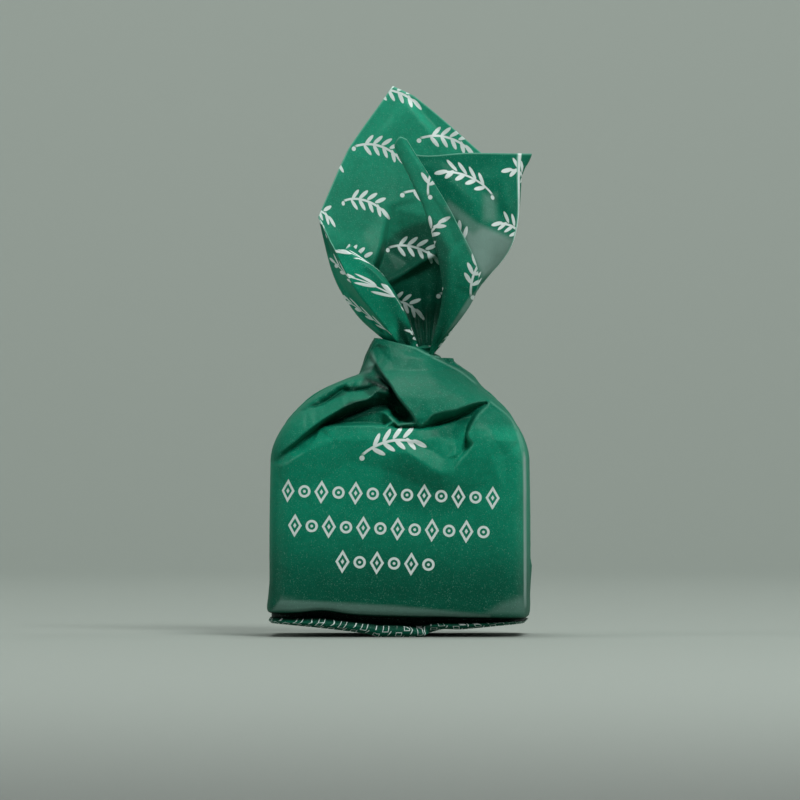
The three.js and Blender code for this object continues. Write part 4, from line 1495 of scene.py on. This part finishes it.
def make_sprig_group() -> Group:
    """Makes the sprig: a curved stem with leaves in pairs and a berry, 5.6 mm long.

    Returns:
        The finished group, ready to be placed in a finish.
    """
    group = Group("sprig print", Place=(VECTOR, None))
    place = group.takes[0]
    leaf_size, stem_centre, stem_radius, stem_half = (0.62, 0.19), (0.0, -4.6), 4.75, 0.11
    end_leaf = place.oval((2.25, -0.42), (0.66, 0.20), -34)
    nearest = end_leaf.math("MINIMUM", place.oval((-2.75, -0.95), (0.22, 0.22)))
    for x, y in ((-1.75, -0.15), (-0.85, 0.12), (0.1, 0.22), (1.05, 0.12)):
        slope = -9.0 * (x + 0.3)
        nearest = nearest.math("MINIMUM", place.oval((x + 0.34, y + 0.52), leaf_size, slope + 50))
        nearest = nearest.math("MINIMUM", place.oval((x + 0.46, y - 0.46), leaf_size, slope - 46))
    off_line = abs(place.oval(stem_centre, (1.0, 1.0)) - stem_radius) / stem_half
    stem = off_line.math("MAXIMUM", place.oval((-0.25, 0.0), (2.6, 1.6)))
    return group.give(Ink=nearest.math("MINIMUM", stem).step(0.9, 1.1, 1.0, 0.0))


def make_row_group() -> Group:
    """Makes a row of ornaments: tall open lozenges by turns with small rings, and a dot inside each.

    Returns:
        The finished group, ready to be placed in a finish.
    """
    group = Group("row of ornaments", Place=(VECTOR, None), Pitch=(FLOAT, 1.95), Count=(FLOAT, 13.0),
                  Height=(FLOAT, 2.7))
    place, pitch, count, height = group.takes
    x, y, _ = place.split()
    steps = x / pitch + count * 0.5
    inside = steps.math("GREATER_THAN", 0.0) * steps.math("LESS_THAN", count)
    local = (steps.math("FRACT") - 0.5) * pitch
    odd = steps.math("FLOOR").math("FLOORED_MODULO", 2.0).math("GREATER_THAN", 0.5)
    lozenge = abs(local) / 0.82 + abs(y) / (height * 0.5)
    line = lozenge.step(0.96, 1.02, 1.0, 0.0) * lozenge.step(0.58, 0.64)
    even_ink = line.math("MAXIMUM", lozenge.step(0.20, 0.26, 1.0, 0.0))
    reach = (local * local + y * y).math("SQRT")
    ring = reach.step(0.68, 0.72, 1.0, 0.0) * reach.step(0.40, 0.44)
    odd_ink = ring.math("MAXIMUM", reach.step(0.14, 0.18, 1.0, 0.0))
    return group.give(Ink=(even_ink + (odd_ink - even_ink) * odd) * inside)


def make_marks_group() -> Group:
    """Makes a thin open lozenge with a short bar beside it, 1.5 mm long.

    Returns:
        The finished group, ready to be placed in a finish.
    """
    group = Group("small marks", Place=(VECTOR, None))
    place = group.takes[0]
    x, y, _ = place.split()
    lozenge = abs(x + 0.25) / 0.52 + abs(y) / 0.62
    line = lozenge.step(0.96, 1.04, 1.0, 0.0) * lozenge.step(0.74, 0.82)
    bar = place.oval((0.55, 0.0), (0.07, 0.46), -20)
    return group.give(Ink=line.math("MAXIMUM", bar.step(0.85, 1.1, 1.0, 0.0)))


def make_paper_group() -> Group:
    """Makes the waxed paper: cloudy dye, fine light specks, ink, crinkle; painted grey sheen, highlights,
    light and shade.

    Returns:
        The finished group, ready to be placed in a finish.
    """
    group = Group("waxed paper", Place=(VECTOR, None), Ink=(FLOAT, 0.0), Wear=(FLOAT, 0.0),
                  Haze=(FLOAT, 0.0),
                  Glow=(FLOAT, 0.0), Rough=(FLOAT, 0.5), **{name: (COLOUR, None) for name in PAPER_TINTS})
    bench = group.bench
    place, ink, painted_highlight, painted_sheen, painted_shading, rough, dye, deep_dye, white, speck_and_highlight, grey = group.takes
    cloud = bench.noise(place, 260.0, 3.0) * 0.3 + bench.noise(place, 1700.0, 3.0) * 0.7
    specks = bench.noise(place, 8000.0, 1.0).step(0.58, 0.78) * 0.3
    # The dye is scaled by the painted light and shade; over it lie the fine light specks, the painted grey
    # sheen, the ink, and the painted highlights, pale and at their strongest white.
    colour = bench.blend(cloud.step(0.36, 0.64), deep_dye, dye).scaled(painted_shading + 1.0)
    for share, tint in ((specks, speck_and_highlight), (painted_sheen, grey), (ink * 0.96, white),
                        (painted_highlight.math("MULTIPLY", 0.85, clamp=True), speck_and_highlight), (painted_highlight.step(1.2, 1.8), white)):
        colour = bench.blend(share, colour, tint)
    crinkle = bench.value("ShaderNodeTexVoronoi", {"Vector": place, "Scale": 620.0}, "Distance")
    relief = crinkle * 0.5 + bench.noise(place, 3600.0, 2.0) * 0.5
    return group.give(Colour=colour, Roughness=cloud.step(0.3, 0.7, -0.06, 0.08) + rough, Relief=relief)


# ---- finishes -----------------------------------------------------------------------------------


class Print(Enum):
    """What is printed on a part of the sheet."""

    FRONT_ROWS = "front rows"
    SPRIGS = "sprigs"
    SMALL_MARKS = "small marks"


# Tints: the dye and its deeper cloud, white for the ink and the strongest painted highlight, a pale tint for
# the light specks and the painted highlights, and grey for the painted sheen.
PAPER_TINTS: dict[str, Tint] = {
    "Dye": (6, 96, 73),
    "Deep": (5, 90, 68),
    "White": (214, 226, 222),
    "SpeckAndHighlight": (120, 178, 158),
    "Grey": (140, 164, 157),
}


def linear(red: int, green: int, blue: int) -> tuple[float, float, float, float]:
    """Returns a colour given in 0 to 255 steps as Blender's linear values."""
    parts = [c / 255 for c in (red, green, blue)]
    return (*[c / 12.92 if c <= 0.04045 else ((c + 0.055) / 1.055) ** 2.4 for c in parts], 1.0)


@dataclass(frozen=True)
class OrnamentRow:
    """A row of ornaments on the front panel, in millimetres on the sheet."""

    centre: Point2
    count: float
    height: float = 2.7
    pitch: float = 1.95
    turn: float = -2.0


@dataclass(frozen=True)
class WaxedPaper:
    """Green waxed paper with a white print. A pattern is its turn, its scale and its cell's size."""

    name: str
    print_kind: Print
    roughness: float = 0.55
    rows: tuple[OrnamentRow, ...] = (
        OrnamentRow((-0.7, 16.2), 13.0), OrnamentRow((-0.8, 12.3), 12.0), OrnamentRow((-1.2, 8.4), 6.0))
    emblem: tuple[Point2, float, float] = ((-0.4, 22.1), 1.35, 8.0)
    sprigs: tuple[float, float, float, float] = (0.0, 1.2, 6.2, 5.5)
    marks: tuple[float, float, float, float] = (50.0, 0.9, 1.7, 1.55)
    bump: Point2 = (0.35, 0.00012)
    ior: float = 1.14
    coat: float = 0.1
    coat_roughness: float = 0.34
    coat_ior: float = 1.38

    def ink(self, sheet: Value, groups: dict[str, Group]) -> Value:
        """Adds the print.

        Args:
            sheet: places on the sheet, in millimetres.
            groups: the shared node groups by name.

        Returns:
            Where the ink is, 0 to 1.
        """
        if self.print_kind is Print.SPRIGS:
            return self.repeated(sheet, self.sprigs, groups["repeat"], groups["sprig"])
        if self.print_kind is Print.SMALL_MARKS:
            return self.repeated(sheet, self.marks, groups["repeat"], groups["marks"])
        centre, scale, turn = self.emblem
        ink, = groups["sprig"].place(sheet.bench, Place=sheet.placed(centre, (scale, scale), turn))
        for row in self.rows:
            place = sheet.placed(row.centre, (1.0, 1.0), row.turn)
            line, = groups["row"].place(sheet.bench, Place=place, Pitch=row.pitch, Count=row.count,
                                        Height=row.height)
            ink = ink.math("MAXIMUM", line)
        return ink

    def repeated(self, sheet: Value, pattern: tuple[float, ...], repeat: Group, motif: Group) -> Value:
        """Adds a motif all over the sheet.

        Args:
            sheet: places on the sheet.
            pattern: its turn, its scale and its cell's width and height.
            repeat: the group that repeats it.
            motif: the group that draws it.

        Returns:
            Where the ink is, 0 to 1.
        """
        turn, scale, width, height = pattern
        place = sheet.placed((0.0, 0.0), (scale, scale), turn)
        cell, = repeat.place(sheet.bench, Place=place, Width=width, Height=height)
        return motif.place(sheet.bench, Place=cell)[0]

    def build(self, groups: dict[str, Group]) -> bpy.types.Material:
        """Builds the material.

        Args:
            groups: the shared node groups by name.

        Returns:
            The material.
        """
        material = bpy.data.materials.new(self.name)
        material.use_nodes = True
        material.node_tree.nodes.clear()
        bench = Bench(material.node_tree)
        # The painted highlight, painted grey sheen and painted light and shade, as the mesh carries them.
        painted_highlight, painted_sheen, painted_shading = (bench.value("ShaderNodeAttribute", None, "Fac", attribute_name=name)
                            for name in (PAINTED_HIGHLIGHT, PAINTED_SHEEN, PAINTED_SHADING))
        tints = {name: linear(*tint) for name, tint in PAPER_TINTS.items()}
        ink = self.ink(bench.value("ShaderNodeUVMap", uv_map=SHEET), groups)
        place = bench.value("ShaderNodeTexCoord", None, "Object")
        colour, rough, relief = groups["paper"].place(
            bench, Place=place, Ink=ink, Wear=painted_highlight, Haze=painted_sheen, Glow=painted_shading, Rough=self.roughness, **tints)
        strength, depth = self.bump
        bump = bench.value("ShaderNodeBump", {"Strength": strength, "Distance": depth, "Height": relief})
        shader = bench.value("ShaderNodeBsdfPrincipled", {
            "Base Color": colour, "Roughness": rough, "Normal": bump, "IOR": self.ior,
            "Coat Weight": self.coat, "Coat Roughness": self.coat_roughness, "Coat IOR": self.coat_ior})
        bench.node("ShaderNodeOutputMaterial", {"Surface": shader})
        return material


# ---- the fine crinkle, in Geometry Nodes --------------------------------------------------------


@dataclass
class CrinklePress:
    """Geometry Nodes that press a fine crinkle into the paper and give each zone its material."""

    height: float = 0.00005
    fineness: float = 1400.0
    seed: float = 4.0
    floor_gap: float = 0.001

    def tree(self, materials: dict[Zone, bpy.types.Material]) -> bpy.types.NodeTree:
        """Builds the node tree.

        Args:
            materials: the material of each zone.

        Returns:
            The tree, with its sizes as named inputs.
        """
        tree = bpy.data.node_groups.new("paper crinkle", "GeometryNodeTree")
        face = tree.interface
        face.new_socket("Geometry", in_out="INPUT", socket_type="NodeSocketGeometry")
        for name in ("Height", "Fineness", "Seed", "Floor Gap"):
            face.new_socket(name, in_out="INPUT", socket_type=FLOAT)
        face.new_socket("Geometry", in_out="OUTPUT", socket_type="NodeSocketGeometry")
        bench = Bench(tree)
        entry = bench.node("NodeGroupInput")
        skin, height, fineness, seed, gap = (Value(bench, socket) for socket in entry.outputs[:5])
        place = bench.value("GeometryNodeInputPosition")
        fed = {"Vector": place, "W": seed, "Scale": fineness, "Detail": 2.0}
        noise = bench.value("ShaderNodeTexNoise", fed, noise_dimensions="4D")
        push = (noise - 0.5) * height * place.split()[2].math("GREATER_THAN", gap)
        offset = bench.value("GeometryNodeInputNormal").scaled(push)
        shape = bench.value("GeometryNodeSetPosition", {"Geometry": skin, "Offset": offset})
        shape = bench.value("GeometryNodeRealizeInstances", {0: shape})
        zone = bench.value("GeometryNodeInputNamedAttribute", {"Name": "zone"}, data_type="INT")
        for kind, material in materials.items():
            same = bench.value("FunctionNodeCompare", {2: zone, 3: kind.value}, data_type="INT",
                               operation="EQUAL")
            shape = bench.value("GeometryNodeSetMaterial",
                                {"Geometry": shape, "Selection": same, "Material": material})
        bench.node("NodeGroupOutput", {0: shape})
        return tree

    def press(self, skin: bpy.types.Object, materials: dict[Zone, bpy.types.Material]) -> None:
        """Presses the crinkle into an object and makes it a plain mesh.

        Args:
            skin: the object.
            materials: the material of each zone.
        """
        modifier = skin.modifiers.new("crinkle", "NODES")
        modifier.node_group = self.tree(materials)
        sizes = {"Height": self.height, "Fineness": self.fineness, "Seed": self.seed,
                 "Floor Gap": self.floor_gap}
        for item in modifier.node_group.interface.items_tree:
            if item.name in sizes:
                modifier[item.identifier] = sizes[item.name]
        graph = bpy.context.evaluated_depsgraph_get()
        result = bpy.data.meshes.new_from_object(skin.evaluated_get(graph))
        skin.modifiers.clear()
        skin.data = result


# ---- the whole wrapper --------------------------------------------------------------------------


@dataclass
class Wrapper:
    """The whole sheet: the shut pack and the crown above it."""

    pack: ShutPack = field(default_factory=ShutPack)
    crown: Crown = field(default_factory=Crown)
    crinkle: CrinklePress = field(default_factory=CrinklePress)
    finishes: dict[Zone, WaxedPaper] = field(default_factory=lambda: {
        Zone.PANEL: WaxedPaper("green_waxed_paper_front", Print.FRONT_ROWS),
        Zone.CROWN: WaxedPaper("green_waxed_paper_crown", Print.SPRIGS),
        Zone.BASE: WaxedPaper("green_waxed_paper_base", Print.SMALL_MARKS),
    })

    def build(self) -> list[bpy.types.Object]:
        """Builds and dresses the wrapper.

        Returns:
            The finished pieces, riding on their body.
        """
        groups = {"repeat": make_repeat_group(), "sprig": make_sprig_group(), "row": make_row_group(),
                  "marks": make_marks_group(), "paper": make_paper_group()}
        materials = {zone: finish.build(groups) for zone, finish in self.finishes.items()}
        skins = {"wrapper_pack": self.pack.build(), "wrapper_crown": self.crown.build()}
        whole = np.vstack([skin.points for skin in skins.values()])
        middle = (whole.min(axis=0) + whole.max(axis=0)) / 2
        pieces = []
        for name, skin in skins.items():
            skin.points[:, :2] -= middle[:2]
            piece = skin.to_object(name)
            self.crinkle.press(piece, materials)
            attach(piece, BODY_NAME)
            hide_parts(NODE)
            pieces.append(piece)
        return pieces


# ---- studio -------------------------------------------------------------------------------------


@dataclass(frozen=True)
class Lamp:
    """A soft square light: its place in metres, its power in watts, its side and what it points at."""

    name: str
    place: Point3
    power: float
    size: float
    target: Point3 = (0.0, 0.0, 0.03)

    def build(self) -> None:
        """Adds the light."""
        data = bpy.data.lights.new(self.name, "AREA")
        data.energy = self.power
        data.size = self.size
        lamp = linked(self.name, data)
        lamp.location = self.place
        lamp.rotation_euler = (Vector(self.target) - Vector(self.place)).to_track_quat("-Z", "Y").to_euler()


@dataclass
class Studio:
    """A pale floor that sweeps up behind the truffle, soft lights and a distant camera, in metres."""

    frame_width: float = 0.0916
    camera_z: float = 0.0269
    distance: float = 1.4
    sensor: float = 36.0
    half_width: float = 1.6
    near_y: float = -2.2
    far_y: float = 0.5
    bend: float = 0.35
    bend_steps: int = 16
    wall_z: float = 1.4
    floor_tint: Tint = (126, 135, 128)
    backdrop_tint: Tint = (154, 164, 156)
    room_tint: tuple[float, float, float, float] = (0.62, 0.66, 0.64, 1.0)
    room_light: float = 0.08
    lamps: tuple[Lamp, ...] = (
        Lamp("key", (0.20, -0.36, 0.48), 3.0, 0.20),
        Lamp("overhead", (0.0, 0.25, 1.05), 5.0, 0.6),
        Lamp("right_sheen", (0.75, 0.20, 0.22), 1.6, 0.5),
        Lamp("left_sheen", (-0.70, -0.15, 0.25), 1.6, 0.5),
        Lamp("backdrop_wash", (0.0, 0.25, 0.95), 5.0, 0.6, (0.0, 0.85, 0.25)),
    )
    floor_roughness: float = 0.8

    def finish(self) -> bpy.types.Material:
        """Makes the floor's finish, which is clear when seen from behind.

        Returns:
            The finish of the floor and the backdrop.
        """
        material = bpy.data.materials.new("pale_floor")
        material.use_nodes = True
        bench = Bench(material.node_tree)
        shader = material.node_tree.nodes["Principled BSDF"]
        level = bench.value("ShaderNodeNewGeometry", None, "Normal").split()[2]
        bench.put(bench.blend(level, linear(*self.backdrop_tint), linear(*self.floor_tint)),
                  shader.inputs["Base Color"])
        shader.inputs["Roughness"].default_value = self.floor_roughness
        behind = bench.value("ShaderNodeNewGeometry", None, "Backfacing")
        clear = bench.value("ShaderNodeBsdfTransparent")
        solid = Value(bench, shader.outputs[0])
        either = bench.value("ShaderNodeMixShader", {0: behind, 1: solid, 2: clear})
        bench.put(either, material.node_tree.nodes["Material Output"].inputs["Surface"])
        return material

    def sweep(self) -> bpy.types.Object:
        """Makes the floor and backdrop as one curved sheet.

        Returns:
            The sheet, not yet marked as stage.
        """
        turns = [math.pi / 2 * i / self.bend_steps for i in range(self.bend_steps + 1)]
        profile = [(self.near_y, 0.0)]
        profile += [(self.far_y + self.bend * math.sin(turn), self.bend * (1 - math.cos(turn)))
                    for turn in turns]
        profile.append((self.far_y + self.bend, self.wall_z))
        points = [(side * self.half_width, y, z) for y, z in profile for side in (-1, 1)]
        faces = [(2 * i, 2 * i + 1, 2 * i + 3, 2 * i + 2) for i in range(len(profile) - 1)]
        mesh = bpy.data.meshes.new("floor")
        mesh.from_pydata(points, [], faces)
        mesh.polygons.foreach_set("use_smooth", [True] * len(faces))
        mesh.materials.append(self.finish())
        return linked("floor", mesh)

    def build(self) -> None:
        """Builds the floor, the lights and the camera."""
        self.sweep()
        for lamp in self.lamps:
            lamp.build()
        scene = bpy.context.scene
        scene.world = bpy.data.worlds.new("soft_room")
        scene.world.use_nodes = True
        room = scene.world.node_tree.nodes["Background"]
        room.inputs[0].default_value = self.room_tint
        room.inputs[1].default_value = self.room_light
        data = bpy.data.cameras.new("camera")
        data.sensor_width = self.sensor
        data.lens = self.sensor * self.distance / self.frame_width
        camera = linked("camera", data)
        camera.location = (0.0, -self.distance, self.camera_z)
        camera.rotation_euler = (math.pi / 2, 0, 0)
        scene.camera = camera
        scene.view_settings.view_transform = "Standard"


def main() -> None:
    """Builds the studio and the wrapper in order and reports each piece."""
    logging.basicConfig(level=logging.INFO)
    Studio().build()
    LOG.info("studio ready")
    for piece in Wrapper().build():
        LOG.info("%s: %d faces", piece.name, len(piece.data.polygons))


if __name__ == "__main__":
    main()
